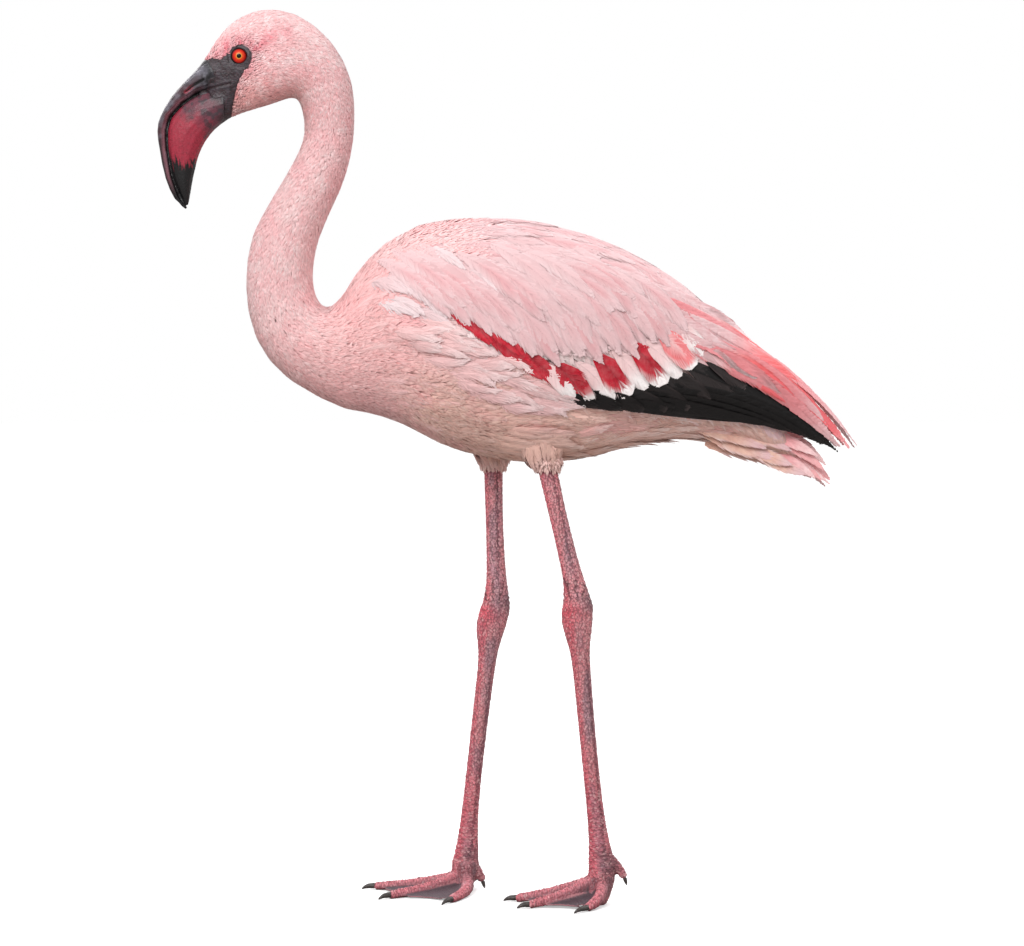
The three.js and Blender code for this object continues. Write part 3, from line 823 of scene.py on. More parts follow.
def plumage_colour(p):
    """The plumage's own colour at a place, without the wing's markings."""
    metres = lie_of(p)[0]
    x, _, z = p.T
    top = np.interp(x, BACK_X, BACK_Z)
    colour = mix(PINK, PALE, cloud(p, 14 * MM, 11))
    head = 1 - smooth(THROAT - 0.02, THROAT + 0.05, metres)
    band = to_line(p[:, [0, 2]], ROSE_BAND)[0]
    rose = bell(band, 5.5 * MM) * (0.85 + 0.3 * cloud(p, 7 * MM, 15))
    rose = rose * (1 - 0.45 * smooth(-0.222, -0.205, x))
    near_mask = bell(to_line(p[:, [0, 2]], BARE_FACE)[0], 5 * MM) * (z > 0.715)
    front = (1 - smooth(-0.258, -0.24, x)) * smooth(0.768, 0.776, z)
    cheek = (1 - smooth(0.715, 0.75, z)) * (1 - smooth(-0.19, -0.17, x))
    crown = smooth(0.772, 0.79, z) * (1 - smooth(-0.2, -0.18, x))
    colour = mix(colour, mix(PALE, PINK, np.array(0.45)) * 0.93, 0.7 * crown * head)
    colour = mix(colour, CROWN_ROSE, np.clip(rose, 0, 1) * head)
    colour = mix(colour, PALE * 0.9, 0.7 * front * head)
    colour = mix(colour, CROWN_ROSE, 0.6 * near_mask * head)
    colour = mix(colour, CHEEK, 0.6 * cheek * head)
    neck = smooth(THROAT, THROAT + 0.05, metres) * (1 - smooth(NECK_ROOT - 0.03, NECK_ROOT + 0.03, metres))
    colour = mix(colour, PALE, 0.35 * neck * cloud(p, 24 * MM, 12))
    dapple = smooth(0.5, 0.75, cloud(p, 4.5 * MM, 16)) * (head + neck)
    colour = mix(colour, WHITE * [1, 0.95, 0.95], 0.3 * dapple)
    trunk = smooth(NECK_ROOT - 0.04, NECK_ROOT + 0.05, metres)
    under = trunk * (1 - smooth(0.44, 0.52, z))
    # The underside beige and, lowest down, dun: partly the plumage's own tone and partly painted shade.
    colour = mix(colour, BEIGE, 0.75 * under)
    colour = mix(colour, DUN_AND_SHADE, 0.55 * trunk * (1 - smooth(0.39, 0.43, z)))
    breast = (1 - smooth(-0.08, 0.0, x)) * smooth(NECK_ROOT - 0.12, NECK_ROOT - 0.02, metres)
    colour = mix(colour, BREAST_PINK, 0.6 * breast * (1 - under))
    back = trunk * (1 - smooth(0.0, 0.05, top - z))
    colour = mix(colour, PALE, 0.6 * back)
    wing = wing_share(p)
    colour = mix(colour, mix(PALE, WHITE, cloud(p, 20 * MM, 13)), 0.8 * wing)
    flush = smooth(0.55, 0.8, cloud(p * [1, 1, 1.4], 22 * MM, 14)) * trunk
    return mix(colour, PINK * [1, 0.9, 0.9], 0.45 * flush)


STROKE = np.array([0.8, 0.6, 0.6])  # how a dark fleck differs from the plumage round it


def varied(colour, amount, dark=0.0):
    """Tuft by tuft variation: a little lighter or darker, and a few dark ones."""
    count = len(colour)
    shade = 1 + rng.normal(0, amount, count)
    warm = rng.normal(0, amount * 0.6, count)
    few = np.where(rng.random(count) < dark, rng.uniform(0.2, 0.6, count), 0)
    out = colour * shade[:, None]
    out[:, 1:] *= (1 + warm)[:, None]
    out = mix(out, out * STROKE, few)
    return np.clip(out, 0, 1)


def on_head(p):
    return (p[:, 2] > HEAD_START) & (lie_of(p)[0] < THROAT + 0.004)


def feathered(p):
    bare = inside(p[:, [0, 2]], BARE_FACE) & (p[:, 2] > HEAD_START)
    return ~bare


def spread(count, low, high):
    return rng.uniform(low, high, count)


# ------------------------------------------------------------------------------- vane feathers


def outer_shell():
    """What the long feathers lie on: the form, and the solids of the closed wing's blades and the tail."""
    names = ["tail"] + [f"{part}_{side}" for part in ("primaries", "tertials") for side in SIDES]
    bm = node_copies(names)
    bm.from_mesh(form_mesh)
    mesh = bpy.data.meshes.new("shell")
    bm.to_mesh(mesh)
    bm.free()
    return Surface(mesh)


shell = outer_shell()


def curve_points(points, count):
    """Evenly spread places on the parabola through three points."""
    start, middle, end = np.asarray(points, float)
    t = np.linspace(0, 1, count)[:, None]
    control = 2 * middle - (start + end) / 2
    return start * (1 - t) ** 2 + 2 * control * t * (1 - t) + end * t**2


def eased(values, passes=3):
    for _ in range(passes):
        inner = (values[:-2] + 2 * values[1:-1] + values[2:]) / 4
        values = np.concatenate([values[:1], inner, values[-1:]])
    return values


def seen_line(side, line, count=17):
    """A side-view line [x, z] in mm laid on the shell's flank: places and outward directions."""
    flat = curve_points(frame_mm(line), count)
    starts = np.stack([flat[:, 0], np.full(count, 0.3 * side), flat[:, 1]], 1)
    hit, at, up = shell.ray(starts, np.tile([0.0, -side, 0.0], (count, 1)))
    hit &= at[:, 1] * side > 0
    t = np.arange(count)
    if not hit.any():
        hit[:] = True
        at[:, 1] = 0.01 * side
        up[:] = (0, side, 0)
    y = np.interp(t, t[hit], at[hit, 1])
    up = np.stack([np.interp(t, t[hit], up[hit, i]) for i in range(3)], 1)
    return np.stack([flat[:, 0], eased(y, 4), flat[:, 1]], 1), unit(eased(up, 4) + [0, 0.25 * side, 0])


def walked_line(start, up, length, count=13, turn=0.0):
    """A line that follows the lie of the plumage over the form."""
    places, ups = [start], [up]
    for _ in range(count - 1):
        way = flow(start[None], up[None])[0]
        way = way * math.cos(turn) + np.cross(up, way) * math.sin(turn)
        at, near = form.nearest((start + way * length / (count - 1))[None])
        start, up = at[0], near[0]
        places.append(start)
        ups.append(up)
    return eased(np.array(places), 2), unit(eased(np.array(ups), 4))


def outline(a, width, fullest, blunt):
    """Half width of a vane along its length a, 0 to 1."""
    rise = width * smooth(-0.25, fullest, a)
    fall = np.clip((a - fullest) / (1 - fullest), 0, 1)
    return rise * np.maximum(1 - fall**blunt, 0) ** (0.5 if blunt > 1.8 else 0.75)


def add_vane(coat, places, ups, width, colour, barbs=24, lift=(-1.0, 1.6), fullest=0.45, blunt=2.4,
             fray=0.15, forward=1.1, fine=1.35, bend=34.0, shaft=0.85, splits=0.35, web=0.86, roll=0.0):
    """A feather of overlapping barbs on both sides of its shaft.

    colour(a, across) is asked in 0..1 along it and -1..1 across it.
    """
    length = np.linalg.norm(np.diff(places, axis=0), axis=1).sum()
    count = len(places)
    ahead = unit(np.gradient(places, axis=0))
    ups = unit(ups - ahead * (ups * ahead).sum(1)[:, None])
    right = np.cross(ahead, ups)
    width = width * MM

    def at(rows, share):
        t = np.clip(share, 0, 1.02) * (count - 1)
        low = np.clip(t.astype(int), 0, count - 2)
        s = (t - low)[..., None]
        return rows[low] * (1 - s) + rows[low + 1] * s

    def rise(share):
        high = lift[0] * 0.2 + lift[1] * 0.8
        tip = lift[1] - 0.35 * (lift[1] > 1)
        return np.interp(share, [0, 0.35, 0.75, 1], [lift[0], high, lift[1], tip]) * MM

    # A thin web under the barbs closes the gaps between them.
    share = 0.992 * (1 - (1 - np.linspace(0, 1, 10)) ** 1.8)
    half = outline(share, width, fullest, blunt) * web
    line = at(places, share) + at(ups, share) * (rise(share) - RIDGE * half - 0.12 * MM)[:, None]
    tint = colour(share[None], np.full((1, 10), 0.4)) * (0.94 + 0.02 * rng.normal())
    coat.add(line[None], at(ahead, share)[None, :-1], at(ups, share)[None, :-1], half[None, :-1],
             np.clip(tint, 0, 1), unwrapped(places[:1]))
    # The barbs, swept forward from the shaft.
    root = (np.arange(barbs) / barbs) ** 0.93
    root = np.tile(root + rng.normal(0, 0.1 / barbs, barbs), 2)
    side = np.repeat([-1.0, 1.0], barbs)
    clump = np.interp(root + 2 * side, np.linspace(-3, 4, 60), rng.normal(0, splits / barbs, 60))
    reach = forward * outline(np.minimum(root + 0.06, 1), width, fullest, blunt) / length
    end = np.clip(root + reach + clump + 0.35 / barbs + rng.normal(0, 0.3 * fray / barbs, 2 * barbs), 0, 1.0)
    end = np.minimum(end + np.where(rng.random(2 * barbs) < 0.3, fray * 0.04, 0), 1.02)
    wide = outline(np.minimum(end, 0.985), width, fullest, blunt)
    wide = wide * (1 + fray * rng.normal(0, 0.35, 2 * barbs))
    v = np.array([0, 0.55, 1.0])
    a = root[:, None] + (end - root)[:, None] * v**1.25
    b = (side * wide)[:, None] * (1 - (1 - v) ** 1.45)
    height = rise(a) - b**2 / (2 * bend * MM) + roll * b + rng.normal(0, 0.06 * MM, 2 * barbs)[:, None]
    up = unit(at(ups, a))
    spine = at(places, a) + at(right, a) * b[..., None] + up * height[..., None]
    way = unit(np.gradient(spine, axis=1))
    half = length / barbs * 0.5 * fine * np.interp(v[:-1], [0, 0.4, 0.78], [0.75, 1.0, 0.8 - 0.25 * fray])
    half = np.tile(half, (2 * barbs, 1)) * np.minimum(1, 0.35 + wide / (0.5 * width))[:, None]
    tint = colour(np.clip(a, 0, 1), b / width) * (1 + rng.normal(0, 0.025, 2 * barbs))[:, None, None]
    coat.add(spine, way[:, :-1], up[:, :-1], half, np.clip(tint, 0, 1), unwrapped(spine[:, 0]))
    # The shaft.
    share = np.linspace(0, 0.97, 5)
    line = at(places, share) + at(ups, share) * (rise(share) + 0.12 * MM)[:, None]
    quill = np.array([[0.5, 0.45, 0.36, 0.25]]) * MM * min(1.0, width / (7 * MM))
    tint = np.clip(colour(share[None], np.zeros((1, 5))) * shaft, 0, 1)
    coat.add(line[None], at(ahead, share)[None, :-1], at(ups, share)[None, :-1], quill, tint,
             unwrapped(places[:1]))


def plain(colour, tip=None, at=0.7, edge=None):
    """A vane's colour: one tone, another towards its tip, and another along its margin."""
    tip = colour if tip is None else tip
    edge = colour if edge is None else edge

    def tone(a, across):
        base = mix(colour, tip, smooth(at - 0.2, at + 0.15, a))
        return mix(base, edge, 0.8 * smooth(0.55, 0.95, np.abs(across)))

    return tone


# ------------------------------------------------------------------------------- materials


def start_material(name, roughness, specular=0.4, coat=0.0, sheen=0.0):
    material = bpy.data.materials.new(name)
    material.use_nodes = True
    shader = material.node_tree.nodes["Principled BSDF"]
    shader.inputs["Roughness"].default_value = roughness
    shader.inputs["Specular IOR Level"].default_value = specular
    shader.inputs["Coat Weight"].default_value = coat
    shader.inputs["Coat Roughness"].default_value = 0.15
    shader.inputs["Sheen Weight"].default_value = sheen
    return material, material.node_tree.nodes, material.node_tree.links, shader


def mottle_group():
    """Breaks a colour up with fine and coarse mottling, and gives the same mottling as a height."""
    group = bpy.data.node_groups.new("mottle", "ShaderNodeTree")
    face = group.interface
    for name, kind in (("Colour", "NodeSocketColor"), ("Place", "NodeSocketVector"),
                       ("Fine", "NodeSocketFloat"),
                       ("Depth", "NodeSocketFloat"), ("Dark", "NodeSocketColor")):
        face.new_socket(name=name, in_out="INPUT", socket_type=kind)
    face.new_socket(name="Colour", in_out="OUTPUT", socket_type="NodeSocketColor")
    face.new_socket(name="Height", in_out="OUTPUT", socket_type="NodeSocketFloat")
    nodes, links = group.nodes, group.links
    given, made = nodes.new("NodeGroupInput"), nodes.new("NodeGroupOutput")
    noise = nodes.new("ShaderNodeTexNoise")
    noise.inputs["Detail"].default_value = 4
    noise.inputs["Roughness"].default_value = 0.65
    spread_out = nodes.new("ShaderNodeMapRange")
    spread_out.inputs["From Min"].default_value = 0.38
    spread_out.inputs["From Max"].default_value = 0.66
    share = nodes.new("ShaderNodeMath")
    share.operation = "MULTIPLY"
    blend = nodes.new("ShaderNodeMix")
    blend.data_type = "RGBA"
    links.new(given.outputs["Place"], noise.inputs["Vector"])
    links.new(given.outputs["Fine"], noise.inputs["Scale"])
    links.new(noise.outputs["Fac"], spread_out.inputs["Value"])
    links.new(spread_out.outputs[0], share.inputs[0])
    links.new(given.outputs["Depth"], share.inputs[1])
    links.new(share.outputs[0], blend.inputs["Factor"])
    links.new(given.outputs["Colour"], blend.inputs["A"])
    links.new(given.outputs["Dark"], blend.inputs["B"])
    links.new(blend.outputs["Result"], made.inputs["Colour"])
    links.new(spread_out.outputs[0], made.inputs["Height"])
    return group


MOTTLE = mottle_group()


def tinted(material_parts, fine, depth, dark, bump, distance):
    """The piece's tint, mottled, into a shader's colour and bump. Gives the two nodes."""
    _, nodes, links, shader = material_parts
    tint = nodes.new("ShaderNodeAttribute")
    tint.attribute_name = "tint"
    where = nodes.new("ShaderNodeTexCoord")
    mottle = nodes.new("ShaderNodeGroup")
    mottle.node_tree = MOTTLE
    mottle.inputs["Fine"].default_value = fine
    mottle.inputs["Depth"].default_value = depth
    mottle.inputs["Dark"].default_value = (*dark, 1)
    links.new(tint.outputs["Color"], mottle.inputs["Colour"])
    links.new(where.outputs["Object"], mottle.inputs["Place"])
    links.new(mottle.outputs["Colour"], shader.inputs["Base Color"])
    rough = nodes.new("ShaderNodeBump")
    rough.inputs["Strength"].default_value = bump
    rough.inputs["Distance"].default_value = distance
    links.new(mottle.outputs["Height"], rough.inputs["Height"])
    links.new(rough.outputs["Normal"], shader.inputs["Normal"])
    return mottle, rough


def feather_material(name, roughness, fine, depth, dark, sheen=0.25, specular=0.25):
    parts = start_material(name, roughness, specular, sheen=sheen)
    tinted(parts, fine, depth, dark, 0.15, 0.0006)
    return parts[0]


def skin_material():
    parts = start_material("bird_skin", 0.46, 0.45)
    _, nodes, links, _ = parts
    mottle, rough = tinted(parts, 700, 0.3, LEG_DARK, 0.35, 0.0009)
    # Net of small scales where the skin is bare.
    scale = nodes.new("ShaderNodeAttribute")
    scale.attribute_name = "scaly"
    where = nodes.new("ShaderNodeTexCoord")
    stretch = nodes.new("ShaderNodeMapping")
    stretch.inputs["Scale"].default_value = (1.0, 1.0, 0.8)
    cells = nodes.new("ShaderNodeTexVoronoi")
    cells.feature = "DISTANCE_TO_EDGE"
    cells.inputs["Scale"].default_value = 520
    edge = nodes.new("ShaderNodeMapRange")
    edge.inputs["From Max"].default_value = 0.22
    depth = nodes.new("ShaderNodeMath")
    depth.operation = "MULTIPLY"
    total = nodes.new("ShaderNodeMath")
    total.operation = "MULTIPLY_ADD"
    total.inputs[1].default_value = 0.35
    links.new(where.outputs["Object"], stretch.inputs["Vector"])
    links.new(stretch.outputs[0], cells.inputs["Vector"])
    links.new(cells.outputs["Distance"], edge.inputs["Value"])
    links.new(edge.outputs[0], depth.inputs[0])
    links.new(scale.outputs["Fac"], depth.inputs[1])
    links.new(mottle.outputs["Height"], total.inputs[0])
    links.new(depth.outputs[0], total.inputs[2])
    links.new(total.outputs[0], rough.inputs["Height"])
    return parts[0]


# ------------------------------------------------------------------------------- colours of the bare skin


def skin_tint(p):
    """Skin colours: like the coat under the feathers, dark on the face, rosy with mauve on the legs."""
    tint = plumage_colour(p) * 0.82
    bare = inside(p[:, [0, 2]], BARE_FACE) & (p[:, 2] > HEAD_START)
    grey = mix(MASK_DARK, MASK_GREY, smooth(0.3, 0.75, cloud(p, 3 * MM, 21)))
    grey = mix(grey, MASK_GREY * 1.5, 0.3 * smooth(0.62, 0.75, cloud(p, 1.8 * MM, 24)))
    r = np.hypot(p[:, 0] - EYE[0], p[:, 2] - EYE[2])
    # A paler ring on the lid round the eye: painted highlight.
    grey = mix(grey, MASK_GREY * 1.6, 0.6 * bell(r - LID_RADIUS - 2.2 * MM, 0.8 * MM))
    grey = mix(grey, MASK_DARK * 0.25, 1 - smooth(LID_RADIUS + 0.5 * MM, LID_RADIUS + 1.2 * MM, r))
    # Along the corner of the mouth: near black in its sunk groove, painted shade, and a paler line on the
    # raised lip beside it, painted highlight.
    corner = to_line(p[:, [0, 2]], MOUTH_CORNER)[0]
    grey = mix(grey, BILL_BLACK * 0.5, bell(corner, 0.8 * MM))
    grey = mix(grey, MASK_GREY * 1.7, 0.4 * bell(corner - 2.4 * MM, 0.9 * MM))
    far = np.abs(to_line(p[:, [0, 2]], BARE_FACE)[0])
    grey = mix(grey, MASK_DARK * 0.6, 0.6 * bell(far, 1.6 * MM))
    tint = np.where(bare[:, None], grey, tint)
    legs = p[:, 2] < BARE_LEG_TOP
    tint = np.where(legs[:, None], leg_tint(p) * 0.58, tint)
    return tint


def leg_tint(p):
    x, y, z = p.T
    tint = mix(LEG_ROSE, LEG_MAUVE, 0.75 * smooth(0.35, 0.7, cloud(p * [1, 1, 0.45], 9 * MM, 22)))
    for leg in LEGS.values():
        hip, ankle, root = (point3(leg[k]) for k in ("hip", "ankle", "root"))
        mine = np.sign(y) == np.sign(hip[1])
        tibia = z > ankle[2]
        share = np.where(tibia, (z - ankle[2]) / (hip[2] - ankle[2]), (ankle[2] - z) / (ankle[2] - root[2]))
        end = np.where(tibia[:, None], hip, root)
        axis = ankle + (end - ankle) * share[:, None]
        across = (x - axis[:, 0]) / (8 * MM)
        edge = smooth(0.25, 0.95, np.abs(across))
        tone = mix(tint, LEG_ROSE * [1.05, 0.95, 0.95], 0.55 * edge)
        tone = mix(tone, LEG_RED, 0.5 * smooth(0.3, 0.9, -across) * (share > 0.05))
        upper = smooth(0.78, 0.97, share) * tibia
        tone = mix(tone, LEG_RED, 0.6 * upper)
        low = ~tibia & (share > 0.45)
        tone = mix(tone, LEG_RED * [1, 1.1, 1.1], 0.35 * smooth(0.4, 0.8, share) * low)
        # Painted shade: darker along the groove towards the back of the shaft.
        groove = bell(across - 0.42, 0.13) * smooth(0.1, 0.3, share) * (np.abs(share) < 0.97)
        tone = mix(tone, LEG_DARK, 0.75 * groove)
        knob = np.exp(-(np.linalg.norm(p - ankle - [-6 * MM, 0, -4 * MM], axis=1) / (12 * MM)) ** 4)
        tone = mix(tone, LEG_RED * [1.08, 0.85, 0.9], 0.9 * knob)
        heel = np.exp(-(np.linalg.norm(p - ankle - [9 * MM, 0, 5 * MM], axis=1) / (11 * MM)) ** 4)
        tone = mix(tone, LEG_MAUVE * 0.6, 0.8 * heel)
        # Painted shade: dark grey in the hollow behind the foot's root.
        away = np.linalg.norm((p - root - [3 * MM, 0, -4 * MM]) / [1, 1, 1.6], axis=1)
        hollow = np.exp(-(away / (14 * MM)) ** 4)
        tone = mix(tone, WEB_GREY * 1.1, 0.85 * hollow * smooth(-5 * MM, 0, x - root[0]))
        tint = np.where(mine[:, None], tone, tint)
    foot = (z < 0.03).astype(float)
    tint = mix(tint, LEG_ROSE * [0.92, 0.86, 0.88], 0.5 * foot)
    for leg in LEGS.values():  # painted shade of folds: dark lines that fan upwards from the ankle
        ankle = point3(leg["ankle"])
        up, side_on = z - ankle[2], x - ankle[0]
        angle = np.arctan2(side_on, up + 14 * MM)
        fan = smooth(0.55, 0.9, np.cos(angle * 26 + 3 * cloud(p, 6 * MM, 25)))
        fan = fan * smooth(4 * MM, 9 * MM, up) * (1 - smooth(20 * MM, 34 * MM, up))
        fan = fan * (np.sign(y) == np.sign(ankle[1]))
        tint = mix(tint, LEG_DARK * 0.7, 0.8 * fan)
    return tint


# ------------------------------------------------------------------------------- the skin piece

# Each toe's tip in plan, and how far its middle is bowed back: [x, y, bow].
TOE_TIPS = {
    "left": [[-4, -25, 0], [8, -56, 0], [58, -76, 9]],
    "right": [[-134, 25, 0], [-116.5, -20, 0], [-59, -42, 10]],
}


def toe_lines():
    for word, tips in TOE_TIPS.items():
        root = np.array(LEGS[word]["root"][:2], float)
        share = np.linspace(0, 1, 7)[:, None]
        for x, y, bow in tips:
            line = root + (np.array([x, y]) - root) * share
            line[:, :1] += 4 * bow * share * (1 - share) + ROW_SHIFT
            yield line * MM


def toe_distance(p):
    """Distance in plan from the nearest toe's middle, how far along that toe it is, and the toe's way."""
    best, along, way = np.full(len(p), 1.0), np.zeros(len(p)), np.tile([-1.0, 0.0], (len(p), 1))
    for line in toe_lines():
        away, share = to_line(p[:, :2], line)
        nearer = away < best
        length = np.linalg.norm(line[-1] - line[0])
        best = np.where(nearer, away, best)
        along = np.where(nearer, share / (len(line) - 1) * length, along)
        piece = unit(np.diff(line, axis=0))[np.minimum(share.astype(int), len(line) - 2)]
        way = np.where(nearer[:, None], piece, way)
    return best, along, way


def foot_tint(p, tint):
    away, along, _ = toe_distance(p)
    low = (p[:, 2] < 0.03) & (along > 14 * MM)
    web = smooth(4.6 * MM, 6.4 * MM, away) * low
    tone = mix(WEB_GREY * 0.8, WEB_GREY * 1.15, cloud(p, 4 * MM, 31))
    return mix(tint, tone, web)


def add_skin():
    material = skin_material()
    p = coords(skin_mesh)
    tint = foot_tint(p, skin_tint(p))
    rim = (p[:, 2] < TOE_RIM_TOP) * (1 - smooth(0.35, 0.8, np.abs(normals(skin_mesh)[:, 2])))
    rim = rim * (toe_distance(p)[0] > 5 * MM)
    tint = mix(tint, LEG_ROSE, 0.8 * rim)
    paint(skin_mesh, np.clip(tint, 0, 1))
    bare = (p[:, 2] < SCALY_TOP).astype(float)
    scaly = skin_mesh.attributes.new("scaly", "FLOAT", "POINT")
    scaly.data.foreach_set("value", bare)
    smooth_faces(skin_mesh)
    new_piece("skin", skin_mesh, material, "leg_skin", TRUNK_NODES + LIMB_NODES)


add_skin()


# ------------------------------------------------------------------------------- short feathering

PLUME = feather_material("soft_plumage", 0.75, 260, 0.16, srgb(206, 150, 150))
COVERT = feather_material("covert_vanes", 0.6, 180, 0.12, srgb(226, 180, 180))
ROSE_VANE = feather_material("rose_vanes", 0.55, 160, 0.2, srgb(190, 60, 66))
SCUTE = feather_material("leg_scutes", 0.42, 700, 0.3, LEG_DARK, 0.0, 0.5)
BLACK_GLOSS = feather_material("black_vanes", 0.42, 150, 0.2, srgb(34, 30, 30), 0.0, 0.28)


def head_coat():
    coat = Coat(ridge=0.2, turn=0.62)
    wanted = lambda p: on_head(p) & feathered(p)
    p, n = scatter(form, 1.35 * MM, wanted)
    near_face = to_line(p[:, [0, 2]], BARE_FACE)[0]
    small = smooth(2 * MM, 16 * MM, near_face)
    length = (3.0 + 3.6 * small) * MM * spread(len(p), 0.8, 1.25)
    half = (0.65 + 0.55 * small) * MM * spread(len(p), 0.7, 1.25)
    colour = varied(plumage_colour(p), 0.09, 0.09)
    lay_tufts(coat, p, n, length, half, colour, lift=0.5 * MM, twist=0.35, shades=(0.68, 1.1))
    # Dark bristles along the edge of the bare face.
    edge = (near_face < 1.3 * MM) & (np.abs(p[:, 1]) > 5 * MM) & (rng.random(len(p)) < 0.6)
    count = edge.sum()
    lay_tufts(coat, p[edge], n[edge], spread(count, 1.5, 2.8) * MM, spread(count, 0.15, 0.25) * MM,
              np.tile(MASK_DARK, (count, 1)), lift=0.4 * MM, twist=0.5)
    coat.piece("head_feathers", PLUME, "plumage_pink")


def neck_coat(name, low, high, spacing):
    coat = Coat(ridge=0.18, turn=0.55)

    def wanted(p):
        metres = lie_of(p)[0]
        return (metres > low) & (metres <= high) & (p[:, 0] < -0.02)

    p, n = scatter(form, spacing * MM, wanted)
    along = smooth(THROAT, NECK_ROOT + 0.05, lie_of(p)[0])
    length = (6.2 + 6.5 * along) * MM * spread(len(p), 0.8, 1.25)
    half = (1.0 + 0.4 * along) * MM * spread(len(p), 0.8, 1.25)
    colour = varied(plumage_colour(p), 0.06, 0.05)
    lay_tufts(coat, p, n, length, half, colour, lift=0.4 * MM, twist=0.3, shades=(0.8, 1.08))
    coat.piece(name, PLUME, "plumage_pink")


def trunk_coat(name, wanted, spacing, longest, half_width, sections, lift):
    coat = Coat()
    p, n = scatter(form, spacing * MM, wanted)
    length = longest * MM * spread(len(p), 0.7, 1.15)
    half = half_width * MM * spread(len(p), 0.75, 1.3)
    colour = varied(plumage_colour(p), 0.05, 0.03)
    lay_tufts(coat, p, n, length, half, colour, sections, lift=lift * MM, twist=0.28, shades=(0.84, 1.08))
    coat.piece(name, PLUME, "plumage_pink")


def leg_scales(word, side):
    """Small overlapping plates: down the legs in a net, and in rows across the tops of the toes."""
    coat = Coat(ridge=0.3, turn=0.75)

    def wanted(p):
        low = p[:, 2] < 0.06
        mine = np.where(low, np.where(p[:, 0] < -0.02, 1, -1), np.sign(p[:, 1])) == side
        away, along, _ = toe_distance(p)
        web = (p[:, 2] < 0.026) & (along > 13 * MM) & (away > 5.2 * MM)
        return mine & (p[:, 2] < 0.388) & (p[:, 2] > 2.2 * MM) & ~web

    p, n = scatter(bare_skin, 2.05 * MM, wanted)
    away, along, toe_way = toe_distance(p)
    toe = ((p[:, 2] < 0.026) & (along > 8 * MM)).astype(float)
    root = point3(LEGS[word]["root"])
    way = np.tile([0.0, 0.0, -1.0], (len(p), 1))
    way = mix(way, np.concatenate([toe_way, np.zeros((len(p), 1))], 1), toe)
    way = unit(way - n * (way * n).sum(1)[:, None])
    wide = np.maximum(toe, 1 - smooth(0.03, 0.1, p[:, 2] - root[2]))
    length = (2.7 - 0.7 * wide) * MM * spread(len(p), 0.8, 1.2)
    half = (0.98 + 0.62 * wide) * MM * spread(len(p), 0.8, 1.15)
    share = np.array([-0.2, 0.35, 0.9])
    spine = p[:, None] + way[:, None] * (length[:, None] * share)[..., None]
    spine = spine + n[:, None] * (np.array([-0.14, 0.12, -0.04]) * MM)[None, :, None]
    tint = leg_tint(p)
    # A few scales painted pale: painted glints.
    glint = (rng.random(len(p)) < 0.2 - 0.12 * toe) * rng.uniform(0.25, 0.6, len(p))
    tint = mix(varied(tint * (1.1 + 0.14 * (p[:, 2] > 0.275))[:, None], 0.1), LEG_PALE, glint)
    # Painted shade: the toe scales greyer on the sides of the toes.
    toe_side_shade = smooth(0.45, 1.0, away / (6 * MM)) * toe
    tint = mix(tint, WEB_GREY * 1.3, 0.6 * toe_side_shade)
    # Painted shade: each scale darker at its root, where the scale above overlaps it.
    tint = tint[:, None] * np.stack([0.62 - 0.2 * toe, 1.08 + 0 * toe, 1.0 - 0.1 * toe], 1)[..., None]
    ways, ups = np.repeat(way[:, None], 2, axis=1), np.repeat(n[:, None], 2, axis=1)
    coat.add(spine, ways, ups, half[:, None] * np.array([0.7, 1.0]), np.clip(tint, 0, 1), unwrapped(p))
    coat.piece(f"leg_scales_{word}", SCUTE, "leg_skin")


def below_wing(p):
    return p[:, 2] < np.interp(p[:, 0], WING_LOW_X, WING_LOW_Z) + 0.012


head_coat()
neck_coat("neck_feathers_upper", THROAT + 0.002, THROAT + 0.17, 1.6)
neck_coat("neck_feathers_lower", THROAT + 0.17, NECK_ROOT + 0.02, 1.9)
bare_skin = Surface(skin_mesh)
for word, side in SIDES.items():
    leg_scales(word, side)
trunk_metres = lambda p: lie_of(p)[0] > NECK_ROOT + 0.015
trunk_coat("breast_feathers", lambda p: trunk_metres(p) & (p[:, 0] < -0.03) & (p[:, 2] < 0.62),
           2.6, 18, 1.9, 3, 0.9)
trunk_coat("belly_feathers", lambda p: trunk_metres(p) & (p[:, 0] >= -0.03) & below_wing(p), 3.2, 26, 2.2, 3,
           1.0)
trunk_coat("back_down", lambda p: trunk_metres(p) & (p[:, 0] >= -0.03) & ~below_wing(p), 5.0, 20, 3.0, 2, 0.0)


# ------------------------------------------------------------------------------- bill

MOUTH_LINE = frame_mm([
    [-252, 729.5], [-264, 727.2], [-277, 722.6], [-290, 713.8], [-300.5, 702.5], [-304.2, 690], [-303.8, 674],
    [-299.9, 650], [-294, 632], [-288.5, 622],
])
BILL_LIE = frame_mm([[-250, 722], [-268, 715], [-284, 700], [-294, 684], [-296, 660], [-293, 640],
                     [-288, 622]])
# Line of the painted highlight on the upper bill's base.
BILL_HIGHLIGHT = frame_mm([[-286, 736], [-276, 741], [-264, 744]])
NOSTRIL = frame_mm([[-286.6, 724.0], [-279.5, 729.6], [-270.4, 734.6]])


def bill_mesh(node, voxel, passes):
    remesh = ("REMESH", {"mode": "VOXEL", "voxel_size": voxel * MM})
    ease = ("SMOOTH", {"factor": 0.5, "iterations": passes})
    mesh = worked(node, node_copies([node], 0.15 * MM), [remesh, ease])
    move_to(mesh, coords(mesh) + normals(mesh) * 0.2 * MM)
    return mesh


def streaks(p, seed):
    """Noise drawn out along the bill."""
    _, along = to_line(p[:, [0, 2]], BILL_LIE)
    away = to_line(p[:, [0, 2]], MOUTH_LINE)[0]
    return cloud(np.stack([along * 9 * MM, away * 4, p[:, 1] * 2], 1), 3.2 * MM, seed)


